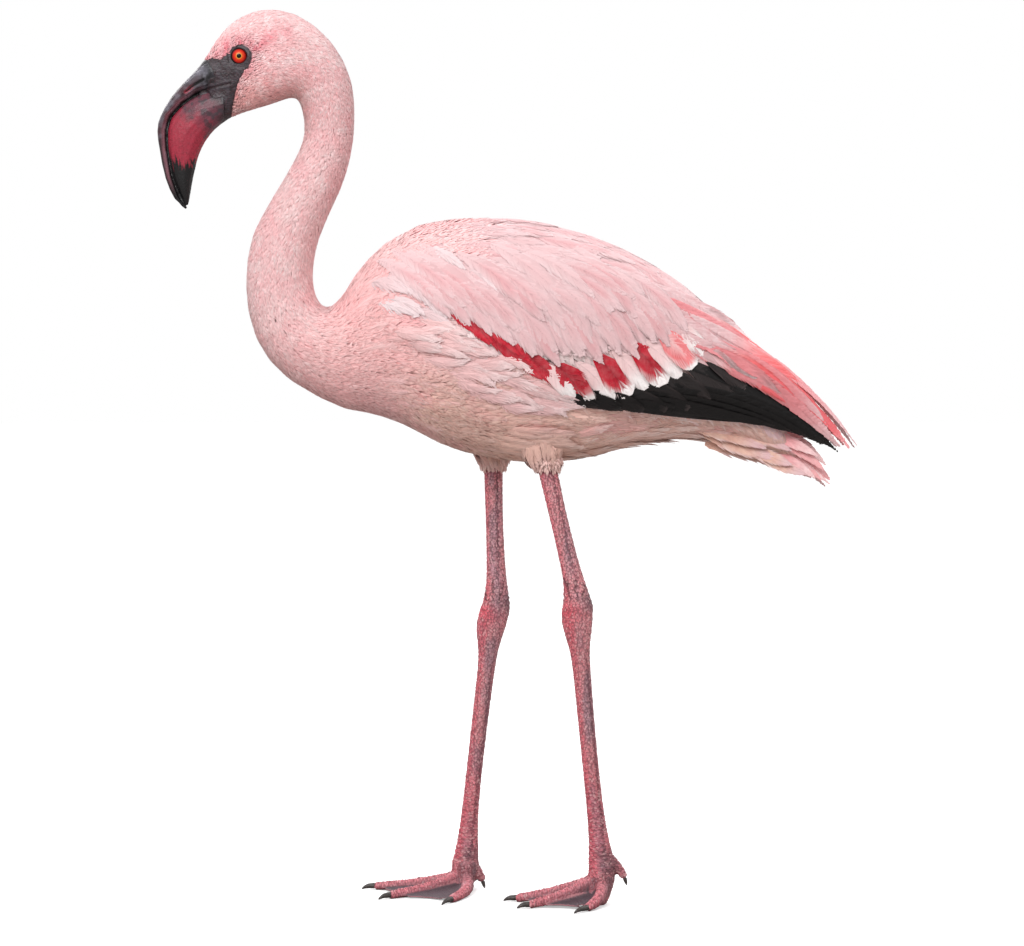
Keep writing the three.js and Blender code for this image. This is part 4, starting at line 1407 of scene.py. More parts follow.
def root_share(p):
    """How near a place on the horn is to the face, 1 at its rooted edge: for tint and depth."""
    head = Surface(worked("solid", node_copies(["head"]), []))
    away = np.linalg.norm(head.nearest(p)[0] - p, axis=1)
    wavy = away + 3 * MM * (cloud(p, 4 * MM, 59) - 0.5)
    return 1 - smooth(3.0 * MM, 8.0 * MM, wavy), 1 - smooth(0, 4 * MM, away)


def mask_mottle(p, seed):
    return mix(MASK_DARK, MASK_GREY * 0.95, smooth(0.3, 0.7, cloud(p, 2.4 * MM, seed)))


def upper_bill():
    mesh = bill_mesh("bill_upper", 0.7, 12)
    p, n = coords(mesh), normals(mesh)
    flat = p[:, [0, 2]]
    away, _ = to_line(flat, MOUTH_LINE)
    hole, share = to_line(flat, NOSTRIL)
    width = 1.0 * MM * (0.5 + 0.5 * np.sin(math.pi * share / (len(NOSTRIL) - 1)))
    width = width + 0.5 * MM * cloud(p, 2 * MM, 47)
    out = -1.7 * MM * bell(hole, width) * (np.abs(p[:, 1]) > 3 * MM)
    out = out + 0.3 * MM * bell(hole - 2.3 * MM, 0.9 * MM)
    out = out - 0.45 * MM * bell(away - 3.4 * MM, 0.7 * MM)
    base = smooth(-0.284, -0.262, p[:, 0])
    rooted, sunk = root_share(p)
    out = out - 0.9 * MM * sunk
    out = out + (cloud(p * [1, 1, 1.8], 2.0 * MM, 41) - 0.5) * 0.3 * MM * base
    out = out + (streaks(p, 42) - 0.5) * 0.25 * MM
    move_to(mesh, p + n * out[:, None])
    grey = mix(BILL_BLACK * 1.8, BILL_GREY, smooth(0.3, 0.75, cloud(p, 5 * MM, 43)))
    grey = mix(grey, BILL_PLUM * 1.2, 0.45 * (1 - base) * cloud(p, 4 * MM, 48))
    along = to_line(flat, BILL_LIE)[1]
    tint = mix(grey, mix(MASK_DARK, BILL_GREY * 1.1, smooth(0.35, 0.7, cloud(p, 2.5 * MM, 44))), 0.7 * base)
    tint = mix(tint, BILL_BLACK, smooth(3.0, 4.6, along))
    band = bell(away - 3.3 * MM, 1.5 * MM) * smooth(0.7, 1.6, along) * (1 - smooth(4.2, 5.4, along))
    tint = mix(tint, BILL_LILAC, 0.85 * band * (0.6 + 0.4 * streaks(p, 45)))
    tint = mix(tint, BILL_BLACK, 1 - smooth(1.1 * MM, 1.9 * MM, away))
    # Painted highlight: a paler streak along the top of the bill's base.
    sheen = bell(to_line(flat, BILL_HIGHLIGHT)[0], 4.5 * MM)
    tint = mix(tint, BILL_GREY * 1.7, 0.55 * sheen * (0.6 + 0.5 * cloud(p, 3 * MM, 60)))
    tint = mix(tint, mask_mottle(p, 61), 0.9 * rooted)
    # Painted shade: near black in the sunk nostril.
    tint = mix(tint, BILL_BLACK * 0.3, bell(hole, 1.3 * MM))
    red = bell(hole, 1.4 * MM) * (1 - smooth(0.5, 1.2, share))
    tint = mix(tint, BILL_RED * 1.25, 0.95 * red)
    return finished_bill("bill_upper_horn", mesh, tint, "bill_dark", "bill_upper")


def lower_bill():
    mesh = bill_mesh("bill_lower", 0.7, 12)
    p, n = coords(mesh), normals(mesh)
    flat = p[:, [0, 2]]
    away, _ = to_line(flat, MOUTH_LINE)
    along = to_line(flat, BILL_LIE)[1]
    base = smooth(-0.264, -0.251, p[:, 0] + 6 * MM * (cloud(p, 5 * MM, 57) - 0.5))
    rooted, sunk = root_share(p)
    out = (cloud(p * [1, 1, 1.6], 2.0 * MM, 51) - 0.5) * 0.3 * MM * base - 0.9 * MM * sunk
    out = out + (streaks(p, 52) - 0.5) * 0.2 * MM * (1 - base)
    out = out - 0.35 * MM * bell(away - 2.0 * MM, 0.6 * MM)
    move_to(mesh, p + n * out[:, None])
    blotch = cloud(p, 6 * MM, 53)
    tint = mix(BILL_PLUM * 0.9, BILL_PLUM * 1.4, blotch)
    tint = mix(tint, BILL_LILAC * 0.8, 0.3 * bell(away - 4 * MM, 2.5 * MM) * (along < 2.6))
    red = smooth(1.5, 2.5, along + 1.2 * (blotch - 0.5))
    tint = mix(tint, mix(BILL_RED * 0.85, BILL_RED * 1.12, streaks(p, 54)), red)
    tint = mix(tint, mask_mottle(p, 55), np.maximum(0.75 * base, 0.85 * rooted))
    spots = smooth(0.56, 0.68, cloud(p, 3.2 * MM, 58)) * (1 - smooth(1.4, 2.6, along))
    tint = mix(tint, MASK_GREY, 0.7 * spots)
    tip = smooth(3.75, 4.05, along + 0.9 * (streaks(p, 56) - 0.5))
    tint = mix(tint, BILL_BLACK, tip)
    tint = mix(tint, BILL_BLACK, 1 - smooth(0.7 * MM, 1.3 * MM, away))
    return finished_bill("bill_lower_horn", mesh, tint, "bill_red", "bill_lower")


def horn_material():
    parts = start_material("bill_horn", 0.44, 0.38, coat=0.06)
    tinted(parts, 420, 0.25, BILL_BLACK, 0.25, 0.0005)
    return parts[0]


BILL_HORN = horn_material()


def finished_bill(name, mesh, tint, slot, node):
    paint(mesh, np.clip(tint, 0, 1))
    smooth_faces(mesh)
    return new_piece(name, mesh, BILL_HORN, slot, [node])


upper_bill()
lower_bill()


def mouth_gap_shade():
    """A dark core inside the closed bill, painted shade, seen only in the gap along the line of the mouth."""
    remesh = ("REMESH", {"mode": "VOXEL", "voxel_size": 1.0 * MM})
    ease = ("SMOOTH", {"factor": 0.5, "iterations": 8})
    mesh = worked("mouth_gap_shade", node_copies(["bill_upper", "bill_lower"], 0.4 * MM), [remesh, ease])
    p, n = coords(mesh), normals(mesh)
    move_to(mesh, p - n * 1.1 * MM)
    paint(mesh, np.tile(BILL_BLACK * 0.6, (len(p), 1)) * (0.8 + 0.4 * cloud(p, 3 * MM, 46))[:, None])
    smooth_faces(mesh)
    new_piece("mouth_gap_shade", mesh, BILL_HORN, "bill_dark")


mouth_gap_shade()


# ------------------------------------------------------------------------------- eyes

IRIS_RINGS = [  # distance from the pupil's middle in mm, and the colour there
    (0.0, srgb(3, 2, 2)), (2.0, srgb(4, 3, 2)), (2.2, srgb(246, 190, 92)), (2.5, srgb(246, 150, 64)),
    (2.9, srgb(242, 94, 38)), (3.8, srgb(236, 66, 32)), (5.0, srgb(222, 44, 28)), (5.8, srgb(180, 26, 22)),
    (6.4, srgb(30, 10, 10)), (9.0, srgb(18, 8, 8)),
]


def eye_material():
    parts = start_material("eye_gloss", 0.3, 0.15, coat=0.12)
    material, nodes, links, shader = parts
    shader.inputs["Coat Roughness"].default_value = 0.12
    where = nodes.new("ShaderNodeTexCoord")
    centre = nodes.new("ShaderNodeMapping")
    centre.vector_type = "POINT"
    centre.inputs["Location"].default_value = (-EYE[0], 0, -EYE[2])
    flat = nodes.new("ShaderNodeVectorMath")
    flat.operation = "MULTIPLY"
    flat.inputs[1].default_value = (1, 0, 1)
    far = nodes.new("ShaderNodeVectorMath")
    far.operation = "LENGTH"
    scaled = nodes.new("ShaderNodeMath")
    scaled.operation = "MULTIPLY"
    scaled.inputs[1].default_value = 1 / (9 * MM)
    ramp = nodes.new("ShaderNodeValToRGB")
    stops = ramp.color_ramp.elements
    while len(stops) < len(IRIS_RINGS):
        stops.new(0.5)
    for stop, (radius, colour) in zip(stops, IRIS_RINGS):
        stop.position = radius / 9
        stop.color = (*colour, 1)
    # Fine spokes in the iris.
    spokes = nodes.new("ShaderNodeTexNoise")
    spokes.inputs["Scale"].default_value = 1500
    darker = nodes.new("ShaderNodeMix")
    darker.data_type = "RGBA"
    darker.blend_type = "MULTIPLY"
    darker.inputs["Factor"].default_value = 0.45
    links.new(where.outputs["Object"], centre.inputs["Vector"])
    links.new(centre.outputs[0], flat.inputs[0])
    links.new(flat.outputs[0], far.inputs[0])
    links.new(far.outputs["Value"], scaled.inputs[0])
    links.new(scaled.outputs[0], ramp.inputs[0])
    links.new(where.outputs["Object"], spokes.inputs["Vector"])
    links.new(ramp.outputs["Color"], darker.inputs["A"])
    links.new(spokes.outputs["Fac"], darker.inputs["B"])
    links.new(darker.outputs["Result"], shader.inputs["Base Color"])
    return material


EYE_GLOSS = eye_material()


def eyeball(word, side):
    bm = bmesh.new()
    bmesh.ops.create_uvsphere(bm, u_segments=40, v_segments=24, radius=EYE_RADIUS)
    bmesh.ops.scale(bm, verts=bm.verts, vec=(1, 0.86, 1))
    bmesh.ops.translate(bm, verts=bm.verts, vec=(EYE[0], side * EYE[1], EYE[2]))
    mesh = bpy.data.meshes.new(f"eyeball_{word}")
    bm.to_mesh(mesh)
    bm.free()
    smooth_faces(mesh)
    return new_piece(f"eyeball_{word}", mesh, EYE_GLOSS, "eye", [f"eye_{word}"])


for word, side in SIDES.items():
    eyeball(word, side)


# ------------------------------------------------------------------------------- claws


def claw_material():
    parts = start_material("claw_horn", 0.38, 0.5)
    tinted(parts, 500, 0.3, srgb(110, 96, 88), 0.3, 0.0004)
    return parts[0]


CLAW_HORN = claw_material()


def claws(word):
    names = [f"claw_{toe}_{word}" for toe in ("outer", "middle", "inner", "hind")]
    ease = ("SUBSURF", {"levels": 2, "render_levels": 2})
    mesh = worked(f"claws_{word}", node_copies(names, 0.25 * MM), [ease])
    p = coords(mesh)
    paint(mesh, mix(CLAW_DARK * 0.8, CLAW_DARK * 1.5, cloud(p, 2 * MM, 61)))
    smooth_faces(mesh)
    return new_piece(f"claws_{word}", mesh, CLAW_HORN, "claw_horn", names)


for word in SIDES:
    claws(word)


# ------------------------------------------------------------------------------- wings


def jittered(points, amount):
    return (np.asarray(points, float) + rng.normal(0, amount, (len(points), 2))).tolist()


def from_tip(tip, degrees, length, sag=0.04):
    """A side-view line in mm that ends at a tip, coming down to it at an angle, bowed a little."""
    way = np.array([math.cos(math.radians(degrees)), -math.sin(math.radians(degrees))])
    over = np.array([way[1], -way[0]]) * -sag * length
    tip = np.asarray(tip, float)
    return [tip - way * length, tip - way * length * 0.5 + over, tip]


def crimson_spot(a, across):
    inner = 1 - smooth(0.88, 1.0, np.hypot(across / 1.12, np.maximum(a - 0.5, 0) / 0.31))
    shaft = bell(across, 0.07)
    return mix(mix(WHITE, CRIMSON, inner), CRIMSON * 0.35, 0.55 * shaft * inner)


def all_crimson(a, across):
    shaft = bell(across, 0.08)
    return mix(CRIMSON * (0.85 + 0.3 * smooth(0.2, 0.9, a))[..., None], CRIMSON * 0.4, 0.5 * shaft)


def salmon_spot(a, across):
    inner = 1 - smooth(0.8, 1.0, np.hypot(across / 1.05, np.maximum(a - 0.6, 0) / 0.33))
    streak = bell(across, 0.22) * (1 - smooth(0.6, 0.75, a))
    return mix(mix(WHITE, SALMON * [0.98, 0.85, 0.85], 0.9 * inner), PALE, 0.75 * streak)


def white_tipped(a, across):
    return mix(PALE * 0.95, WHITE * 0.97, smooth(0.5, 0.8, a) + 0 * across)


def scapular_tone(warmth):
    def tone(a, across):
        edge = smooth(0.3, 1.0, np.abs(across))
        streak = bell(across, 0.5) * smooth(0.1, 0.5, a) * (1 - 0.6 * smooth(0.75, 1.0, a))
        base = mix(WING_PALE, WING_PINK, warmth * streak)
        return mix(base, WING_WHITE, 0.45 * edge + 0.3 * smooth(0.75, 1.0, a))

    return tone


# Tips of the pale coverts that hang over the crimson spots, with each one's slope in degrees.
LOW_COVERT_TIPS = [
    [-48, 522, 42], [-31, 515, 44], [-13, 506, 46], [5, 499, 49], [24, 489, 50], [46, 479, 50], [65, 488, 52],
    [82, 482, 54], [98, 491, 53], [114, 485, 51], [128, 499, 49], [142, 498, 46], [157, 509, 43],
    [171, 514, 40],
]
OVER_SPOTS = (46, 82, 114, 142)
# Short pale feathers over the shoulder.
SHOULDER_TIPS = [
    [-64, 533, 34], [-47, 529, 36], [-29, 521, 38], [-66, 549, 30], [-50, 545, 34], [-31, 538, 38],
    [-12, 526, 42], [-36, 556, 32], [-14, 545, 38], [-70, 520, 26], [-58, 512, 24], [-80, 538, 26],
]
# The white-edged greater coverts: tip, slope, half width, tone. Crimson ones lie under every second pale tip.
GREAT_COVERTS = [
    ([58, 452], 45, 9, white_tipped), ([90, 449.5], 50, 9, white_tipped), ([121, 460.5], 48, 9, white_tipped),
    ([150, 470], 45, 9, white_tipped), ([172, 491], 40, 10, white_tipped),
    ([73, 448.5], 46, 13.5, crimson_spot),
    ([105, 454.5], 51, 13.5, crimson_spot), ([136, 464.5], 50, 13.5, crimson_spot),
    ([163, 479], 45, 13.5, salmon_spot),
]
FRONT_CRIMSON = [([-14, 501], 42, 40), ([2, 499], 42, 42), ([12, 489], 43, 44), ([16, 478], 43, 44),
                 ([31, 469], 42, 46), ([24, 474], 40, 46), ([45, 463], 43, 46), ([-28, 511], 42, 36)]
# Fringed flank feathers that lie over the wing's lower front edge: tip, slope, length.
FLANK_TIPS = [
    [-44, 509, 6, 40], [-30, 503, 12, 42], [-20, 494, 8, 44], [-6, 489, 12, 46], [4, 481, 8, 48],
    [2, 470, 14, 48], [-4, 466, 8, 50], [20, 471, 12, 50], [32, 461, 16, 52], [46, 452, 18, 52],
    [60, 447, 18, 54], [70, 442, 16, 54], [56, 438, 12, 50], [36, 444, 10, 50], [14, 450, 8, 50],
    [-12, 474, 8, 46], [-34, 486, 6, 44], [-52, 496, 4, 40], [-62, 505, 2, 36],
]


def covert_coat(word, side):
    coat = Coat()

    def lay(tip, degrees, length, width, tone, **shape):
        places, ups = seen_line(side, jittered(from_tip(tip, degrees, length, 0.06), 0.7))
        add_vane(coat, places, ups, width, tone, roll=-side * 0.05, **shape)

    for tip, degrees, length in FRONT_CRIMSON:
        lay(tip, degrees, length, 7.5, all_crimson, barbs=26, lift=(0.6, 1.7), fray=0.2, forward=1.8)
    for tip, degrees, width, tone in GREAT_COVERTS[::-1]:
        raised = (0.5, 2.1) if tone is white_tipped else (0.9, 2.9)
        lay(tip, degrees, 46, width, tone, barbs=44, lift=raised, blunt=3.0, fullest=0.6, fray=0.03,
            forward=2.0, splits=0.15, bend=60)
    low = np.array(LOW_COVERT_TIPS)
    for x in range(-30, 176, 11):
        z = np.interp(x, low[:, 0], low[:, 1])
        for back in (6, 30, 54):
            tip = [x - 0.7 * back, z + 0.75 * back]
            if tip[1] + 60 > 1000 * np.interp((tip[0] - 44) * MM, BACK_X, BACK_Z):
                continue
            lay(tip, 47, 64, 11.5, scapular_tone(rng.uniform(0.1, 0.6)), barbs=20,
                lift=(0.3, 1.8), blunt=1.6, fray=0.4, fullest=0.55, forward=2.2, splits=1.2, bend=24)
    for row in range(4):
        for x, z, degrees in LOW_COVERT_TIPS:
            back = 23 * row + (rng.normal(0, 5) if row else 0)
            slope = math.radians(degrees - 5 * row)
            tip = [x - back * math.cos(slope) + 8 * (row % 2), z + back * math.sin(slope)]
            if tip[1] > 1000 * np.interp(tip[0] * MM, BACK_X, BACK_Z) - 30 or tip[0] < -56:
                continue
            pointed = 1.3 if row == 0 and x in OVER_SPOTS else rng.uniform(1.5, 2.0)
            lay(tip, degrees - 5 * row + rng.normal(0, 2.5), rng.uniform(66, 84), rng.uniform(8, 10.5),
                scapular_tone(rng.uniform(0.1, 0.9)), barbs=36, lift=(0.5 + 0.15 * row, 3.1 + 0.12 * row),
                blunt=pointed, fray=0.35, fullest=0.55, forward=2.2, splits=1.4, bend=20)
    for x, z, degrees in SHOULDER_TIPS:
        for _ in range(2):
            tip = [x + rng.normal(0, 5), z + rng.normal(0, 5)]
            base = mix(WING_PALE, WING_WHITE, rng.uniform(0.2, 1.0, 1))
            tone = plain(base, mix(base, WING_WHITE, np.array(0.5)), 0.7)
            lay(tip, degrees + rng.normal(0, 6), 38, rng.uniform(5.5, 8), tone, barbs=26, lift=(0.0, 2.0),
                blunt=1.4, fray=1.0, forward=2.4, fine=0.9, splits=2.2, bend=16, web=0.7)
    coat.piece(f"wing_coverts_{word}", COVERT, "wing_coverts")


def flank_coat(word, side):
    coat = Coat()
    tone = plain(mix(BREAST_PINK, PALE, np.array(0.6)), mix(PALE, WHITE, np.array(0.25)), 0.7)
    for x, z, degrees, length in FLANK_TIPS:
        for _ in range(2):
            line = jittered(from_tip([x, z], degrees + rng.normal(0, 5), length), 3.0)
            places, ups = seen_line(side, line)
            add_vane(coat, places, ups, rng.uniform(6, 8.5), tone, barbs=30, lift=(-0.8, 2.4), blunt=1.2,
                     fray=1.1, forward=2.8, fine=0.75, splits=2.6, web=0.6, bend=14)
    coat.piece(f"flank_feathers_{word}", PLUME, "plumage_pink")


def clump_coat(name, wanted, spacing, longest, width, lift):
    """Soft loose feathers with hair-like ends, laid over the finer plumage in overlapping clumps."""
    coat = Coat()
    p, n = scatter(form, spacing * MM, wanted)
    for at, up, base in zip(p, n, plumage_colour(p)):
        # Clumps behind x = 0.03 are painted lighter: painted light against the shade that falls there.
        base = np.clip(base * (rng.uniform(1.0, 1.07) + 0.13 * (at[0] > 0.03)), 0, 1)
        places, ups = walked_line(at, up, longest * rng.uniform(0.8, 1.15) * MM, turn=rng.normal(0, 0.12))
        tone = plain(base, mix(base, WHITE * [1, 0.97, 0.96], np.array(0.14)), 0.7)
        add_vane(coat, places, ups, width * rng.uniform(0.8, 1.2), tone, barbs=21, lift=(-2.2, lift),
                 blunt=1.2, fray=1.1, forward=2.9, fine=0.85, splits=2.6, web=0.66, bend=14)
    coat.piece(name, PLUME, "plumage_pink")


BELLY_HALF_X = [50, 120, 170, 204, 238, 266]
BELLY_HALF_Y = [58, 50, 36, 26, 15, 3]


def vent_coat():
    """Shaggy feathers under the belly and tail that break its lower edge and point back."""
    coat = Coat()
    for x in range(62, 264, 8):
        for share in (-0.7, -0.25, 0.2, 0.65):
            tip = x + rng.uniform(-4, 4)
            y = (share + rng.normal(0, 0.1)) * np.interp(tip, BELLY_HALF_X, BELLY_HALF_Y)
            length = np.interp(tip, [60, 150, 262], [36, 46, 54]) * rng.uniform(0.85, 1.1)
            xs = frame_mm(np.stack([np.linspace(tip - length, tip, 13), np.zeros(13)], 1))[:, 0]
            starts = np.stack([xs, np.full(13, y * MM), np.full(13, 0.3)], 1)
            hit, at, up = form.ray(starts, np.tile([0.0, 0.0, 1.0], (13, 1)))
            if hit.sum() < 9:
                continue
            t = np.arange(13)
            places = np.stack([xs, starts[:, 1], eased(np.interp(t, t[hit], at[hit, 2]), 3)], 1)
            ups = unit(eased(np.stack([np.interp(t, t[hit], up[hit, i]) for i in range(3)], 1), 3))
            places[:, 2] -= rng.uniform(0, 5) * (rng.random() < 0.5) * MM * (t / 12) ** 4
            base = plumage_colour(places[6:7])[0] * 1.13
            tone = plain(base, mix(base, WHITE * [1, 0.96, 0.94], np.array(0.4)), 0.7)
            add_vane(coat, places, ups, rng.uniform(5, 7.5), tone, barbs=24,
                     lift=(-2.0, rng.uniform(0.6, 2.0)),
                     blunt=1.4, fray=1.0, forward=2.6, fine=0.8, splits=2.4, web=0.62)
    coat.piece("vent_feathers", PLUME, "plumage_pink")


def thigh_coat():
    """Down over the short feathered thighs, ending in ragged collars."""
    coat = Coat(ridge=0.18, turn=0.55)

    def wanted(p):
        near = np.zeros(len(p), bool)
        for leg in LEGS.values():
            away = p[:, :2] - point3(leg["hip"])[:2] - [1 * MM, 0]
            near |= np.linalg.norm(away, axis=1) < 19 * MM
        return near & (p[:, 2] > 0.3885) & (p[:, 2] < 0.404)

    p, n = scatter(bare_skin, 1.7 * MM, wanted)
    count = len(p)
    way = np.tile([0.1, 0.0, -1.0], (count, 1))
    way = unit(way - n * (way * n).sum(1)[:, None])
    side_on = np.cross(way, n)
    way = unit(way + side_on * rng.normal(0, 0.18, count)[:, None])
    share = np.array([0, 0.4, 0.75, 1.0])
    length = spread(count, 6, 10) * MM
    height = np.array([-0.4, 0.5, 0.9, 1.1]) * MM
    spine = p[:, None] + way[:, None] * (length[:, None] * share)[..., None]
    spine = spine + n[:, None] * height[None, :, None]
    half = spread(count, 0.8, 1.3)[:, None] * MM * np.array([0.8, 1.0, 0.8])
    # Painted shade: the collars are darkened overall, and darker still at each tuft's root.
    tint = varied(np.tile(mix(BEIGE, PALE, np.array(0.5)), (count, 1)) * 0.93, 0.06)
    tint = tint[:, None] * np.array([0.8, 0.95, 1.03, 1.06])[None, :, None]
    ways, ups = np.repeat(way[:, None], 3, axis=1), np.repeat(n[:, None], 3, axis=1)
    coat.add(spine, ways, ups, half, np.clip(tint, 0, 1), unwrapped(p))
    # Belly feathers that hang over the top of each thigh and draw in to the leg.
    for leg in LEGS.values():
        hip = point3(leg["hip"])
        for turn in rng.permutation(np.arange(34)) * math.tau / 34:
            turn += rng.normal(0, 0.1)
            out = np.array([math.cos(turn), math.sin(turn), 0.0])
            root = hip + out * rng.uniform(13, 18) * MM + np.array([-4, 0, rng.uniform(7, 18)]) * MM
            at, up = form.nearest(root[None])
            at = at - up * 1.5 * MM
            tip = hip + out * rng.uniform(9.5, 12.5) * MM
            tip[2] = rng.uniform(0.387, 0.395)
            middle = (at[0] + tip) / 2 + out * 2.5 * MM
            places = curve_points(np.array([at[0], middle, tip]), 13)
            t = np.linspace(0, 1, 13)[:, None]
            ups = unit(up[0] * (1 - t) + out * t)
            # Painted shade: the feathers that hang over the thigh are darkened.
            base = plumage_colour(at)[0] * rng.uniform(0.86, 0.96)
            tone = plain(base, mix(base, PALE, np.array(0.3)), 0.8)
            add_vane(coat, places, ups, rng.uniform(3, 4.5), tone, barbs=18, lift=(-3.0, 1.2), blunt=1.3,
                     fray=1.0, forward=2.6, fine=0.85, splits=2.4, web=0.66, bend=12)
        for _ in range(26):
            root = hip + np.array([rng.uniform(-48, -12), 0, rng.uniform(2, 26)]) * MM
            root[1] = np.sign(hip[1]) * rng.uniform(24, 60) * MM
            at, up = form.nearest(root[None])
            places, ups = walked_line(at[0], up[0], rng.uniform(38, 50) * MM, turn=rng.normal(0, 0.12))
            base = np.clip(plumage_colour(at)[0] * rng.uniform(1.0, 1.1), 0, 1)
            tone = plain(base, mix(base, WHITE * [1, 0.97, 0.96], np.array(0.14)), 0.7)
            add_vane(coat, places, ups, rng.uniform(6, 9), tone, barbs=20, lift=(-2.0, 3.4), blunt=1.2,
                     fray=1.1, forward=2.9, fine=0.85, splits=2.6, web=0.66, bend=14)
    coat.piece("thigh_feathers", PLUME, "plumage_pink")


def back_coat(word, side):
    """Mantle feathers and the long scapulars that stream over the closed wing."""
    coat = Coat()

    def wanted(p):
        top = np.interp(p[:, 0], BACK_X, BACK_Z)
        reach = np.interp(p[:, 0], [-0.12, -0.05, 0.03, 0.12, 0.2, 0.24],
                          [0.03, 0.055, 0.07, 0.055, 0.05, 0.04])
        return (p[:, 1] * side > -1 * MM) & (p[:, 0] > -0.097) & (p[:, 0] < 0.225) & (top - p[:, 2] < reach)

    p, n = scatter(form, 14 * MM, wanted)
    order = np.argsort(-p[:, 0])
    for at, up in zip(p[order], n[order]):
        x = at[0]
        low = np.interp(x, BACK_X, BACK_Z) - at[2]
        length = np.interp(x, [-0.115, -0.06, 0.0, 0.09, 0.17, 0.225], [24, 36, 62, 74, 58, 38])
        length *= rng.uniform(0.82, 1.15) * (1 + 3.0 * low)
        width = np.interp(x, [-0.115, -0.03, 0.05, 0.225], [7.0, 8.5, 8.5, 7.0]) * rng.uniform(0.9, 1.15)
        places, ups = walked_line(at, up, length * MM, turn=side * rng.normal(0, 0.05))
        crest = abs(at[1]) < 14 * MM or x < -0.06
        add_vane(coat, places, ups, width, scapular_tone(rng.uniform(0.0, 0.75)), barbs=25,
                 lift=(-1.8, 0.0) if crest else (-1.4, 0.6), blunt=rng.uniform(1.3, 1.8), fray=0.5,
                 forward=2.2, splits=1.6, fullest=0.45, bend=16 if crest else 24)
    coat.piece(f"back_feathers_{word}", COVERT, "wing_coverts")


def black_tone(brown):
    base = mix(BLACK_VANE, BROWN_VANE, np.array(brown))

    def tone(a, across):
        edge = smooth(0.8, 1.0, np.maximum(np.abs(across), (a - 0.55) / 0.45))
        return mix(base * (1 - 0.3 * (1 - a))[..., None], BROWN_VANE * 3.0, 0.55 * edge * (0.3 + brown))

    return tone


# Long black blades, root, middle and tip [x, z], then half width; the last lies outermost.
PRIMARY_LINES = [
    ([130, 470], [225, 446], [296, 402.5], 5.5), ([120, 464], [212, 447], [284, 409], 6.5),
    ([110, 459], [198, 446], [270, 415], 7.0), ([100, 455], [184, 444], [254, 421], 7.2),
    ([92, 452], [170, 442], [238, 427], 7.2), ([84, 450], [152, 440.5], [222, 431], 7.0),
    ([150, 484], [226, 455], [288, 410], 6.0),
]
# Rounded black secondaries: tip, slope, length, half width, brownness.
SECONDARY_TIPS = [
    [84, 444, 12, 44, 7, 0.1], [102, 442.5, 14, 48, 7.5, 0.1], [120, 441.5, 17, 52, 8, 0.15],
    [139, 442, 21, 55, 9, 0.25], [158, 444, 26, 58, 9, 0.4], [178, 448, 31, 60, 10, 0.6],
    [198, 451.5, 36, 60, 10.5, 0.8], [209, 460, 41, 60, 10.5, 1.0],
]


def black_coat(word, side):
    coat = Coat()
    for start, middle, tip, width in PRIMARY_LINES:
        places, ups = seen_line(side, jittered([start, middle, tip], 0.5), 25)
        add_vane(coat, places, ups, width, black_tone(0.05), barbs=60, lift=(0.2, 0.7), blunt=1.5, fray=0.0,
                 fullest=0.35, forward=3.0, fine=1.7, splits=0.05, shaft=1.6)
    for x, z, degrees, length, width, brown in SECONDARY_TIPS:
        places, ups = seen_line(side, jittered(from_tip([x, z], degrees, length), 0.5), 19)
        add_vane(coat, places, ups, width, black_tone(brown), barbs=46, lift=(0.3, 1.3), blunt=2.6, fray=0.0,
                 fullest=0.6, forward=2.2, fine=1.7, splits=0.05, shaft=1.6)
    coat.piece(f"black_flight_feathers_{word}", BLACK_GLOSS, "feather_black", [f"primaries_{word}"])


PALE_ROSE = plain(WING_PALE, WING_WHITE, 0.7, WING_PINK)


def red_rose(a, across):
    streak = smooth(0.3, 0.7, np.abs(across)) * 0.4
    base = mix(SALMON * [0.97, 1.05, 1.05], ORANGE_RED * [1.05, 1.3, 1.3], streak)
    base = mix(WING_PALE, base, smooth(0.3, 0.6, a))
    return mix(base, PALE, 0.6 * smooth(0.86, 1.0, a))


PINK_ROSE = plain(mix(WING_PINK, SALMON, np.array(0.35)), WING_PALE, 0.85,
                  mix(WING_PINK, SALMON, np.array(0.5)))
# Tertials: root, middle, tip, half width, tone, fraying, bluntness; the last lies outermost.
TERTIAL_LINES = [
    ([140, 506], [206, 480], [262, 441], 11.0, red_rose, 0.1, 1.8),
    ([150, 512], [226, 474], [284, 428], 10.0, PINK_ROSE, 0.2, 1.6),
    ([150, 500], [200, 482], [246, 452], 10.0, PINK_ROSE, 0.2, 1.8),
    ([150, 520], [240, 480], [313, 404.5], 6.5, PINK_ROSE, 0.5, 1.4),
    ([160, 505], [238, 470], [306, 406.5], 7.0, red_rose, 0.4, 1.4),
    ([150, 508], [228, 466], [298, 409], 7.0, PINK_ROSE, 0.5, 1.4),
    ([140, 515], [222, 476], [286, 424], 8.0, PINK_ROSE, 0.3, 1.8),
    ([136, 530], [218, 490], [274, 443], 11.0, red_rose, 0.1, 2.6),
    ([128, 540], [200, 506], [262, 458], 9.0, red_rose, 0.15, 2.4),
    ([120, 545], [190, 510], [246, 470], 9.0, PINK_ROSE, 0.3, 1.9),
    ([130, 520], [185, 488], [238, 457], 8.0, PALE_ROSE, 0.4, 1.6),
    ([135, 525], [188, 494], [227, 464], 8.0, PALE_ROSE, 0.6, 1.5),
    ([120, 535], [170, 508], [206, 480], 8.0, PALE_ROSE, 0.4, 1.6),
    ([124, 552], [184, 524], [232, 486], 9.0, PALE_ROSE, 0.3, 1.8),
]


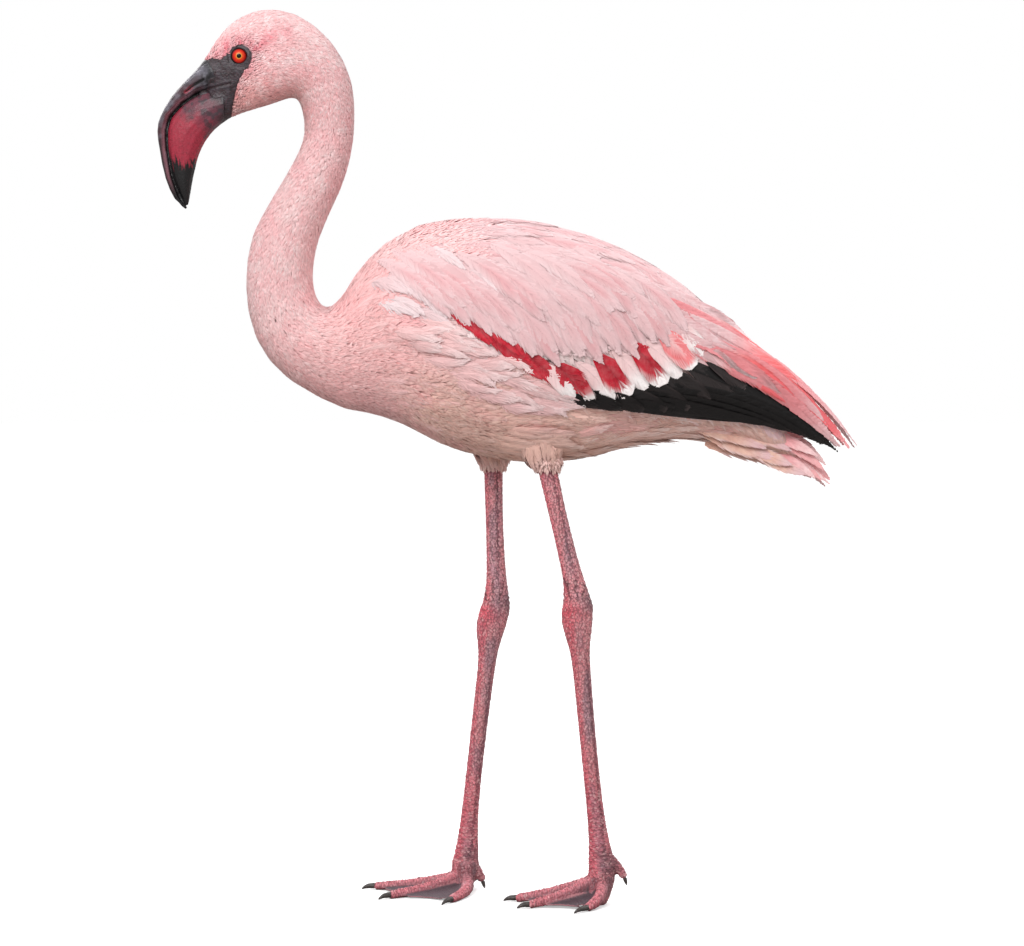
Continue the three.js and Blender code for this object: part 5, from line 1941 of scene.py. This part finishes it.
def rose_coat(word, side):
    coat = Coat()
    for start, middle, tip, width, tone, fray, blunt in TERTIAL_LINES:
        places, ups = seen_line(side, jittered([start, middle, tip], 0.8), 23)
        add_vane(coat, places, ups, width, tone, barbs=52, lift=(1.2, 2.3), blunt=blunt, fray=0.6 * fray,
                 fullest=0.5, forward=2.6, fine=1.6, splits=1.8 * fray, bend=40)
    coat.piece(f"tertials_{word}_vanes", ROSE_VANE, "feather_rose", [f"tertials_{word}"])


TAIL_RED = plain(mix(SALMON, PALE, np.array(0.55)), mix(SALMON, PALE, np.array(0.65)), 0.7, PALE)
TAIL_PINK = plain(mix(SALMON, PINK, np.array(0.7)), PALE, 0.7, PALE)
TAIL_PALE = plain(BEIGE, WING_PALE, 0.75, WING_WHITE)
# Tail feathers in side view, how far out from the midline they start and end, half width, tone.
TAIL_LINES = [
    ([205, 428], [252, 408], [290, 376], 2, 5, 7, TAIL_RED),
    ([205, 424], [248, 402], [284, 378], 6, 10, 7, TAIL_RED),
    ([205, 432], [250, 418], [286, 392], 3, 4, 6.5, TAIL_PINK),
    ([205, 420], [243, 398], [276, 380], 10, 15, 7, TAIL_PINK),
    ([205, 426], [250, 412], [284, 386], 10, 14, 6.5, TAIL_RED),
    ([205, 416], [240, 396], [268, 385], 14, 19, 7, TAIL_PALE),
    ([205, 430], [246, 416], [274, 400], 12, 17, 6, TAIL_PINK),
    ([200, 414], [232, 400], [256, 391], 15, 20, 7, TAIL_PALE),
    ([205, 422], [246, 404], [289, 373], 8, 9, 4.5, TAIL_PINK),
    ([172, 420], [208, 409], [240, 397], 16, 18, 8, TAIL_PALE),
    ([178, 412], [212, 402], [246, 391], 8, 12, 7, TAIL_PALE),
    ([165, 428], [200, 417], [232, 407], 20, 20, 8, TAIL_PALE),
    ([186, 430], [222, 419], [254, 404], 18, 18, 7, TAIL_PALE),
]


def tail_coat():
    coat = Coat()
    for side in SIDES.values():
        for start, middle, tip, near, far, width, tone in TAIL_LINES:
            flat = curve_points(frame_mm(jittered([start, middle, tip], 1.2)), 19)
            out = np.linspace(near, far, 19) * MM * side
            places = np.stack([flat[:, 0], out, flat[:, 1]], 1)
            ups = unit(np.tile([0.15, side * 0.9, 0.25], (19, 1)))
            add_vane(coat, places, ups, width, tone, barbs=44, lift=(0, 0.3), blunt=1.5, fray=0.35,
                     forward=2.4, fine=1.5, splits=1.0, bend=40)
    coat.piece("tail_feathers", ROSE_VANE, "feather_rose", ["tail"])


for word, side in SIDES.items():
    back_coat(word, side)
    covert_coat(word, side)
    flank_coat(word, side)
    black_coat(word, side)
    rose_coat(word, side)
tail_coat()
clump_coat("breast_clumps", lambda p: (lie_of(p)[0] > NECK_ROOT - 0.02) & (p[:, 0] < 0.0) & (p[:, 2] < 0.54),
           16.5, 40, 8.5, 0.4)
clump_coat("belly_clumps", lambda p: (p[:, 0] >= 0.0) & (p[:, 0] < 0.15) & (p[:, 2] < 0.465), 17, 52, 9.5,
           0.6)
vent_coat()
thigh_coat()

both_boxes = {"cad": [list(map(float, corner)) for corner in cad_box],
              "visual": [list(map(float, corner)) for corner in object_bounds()]}
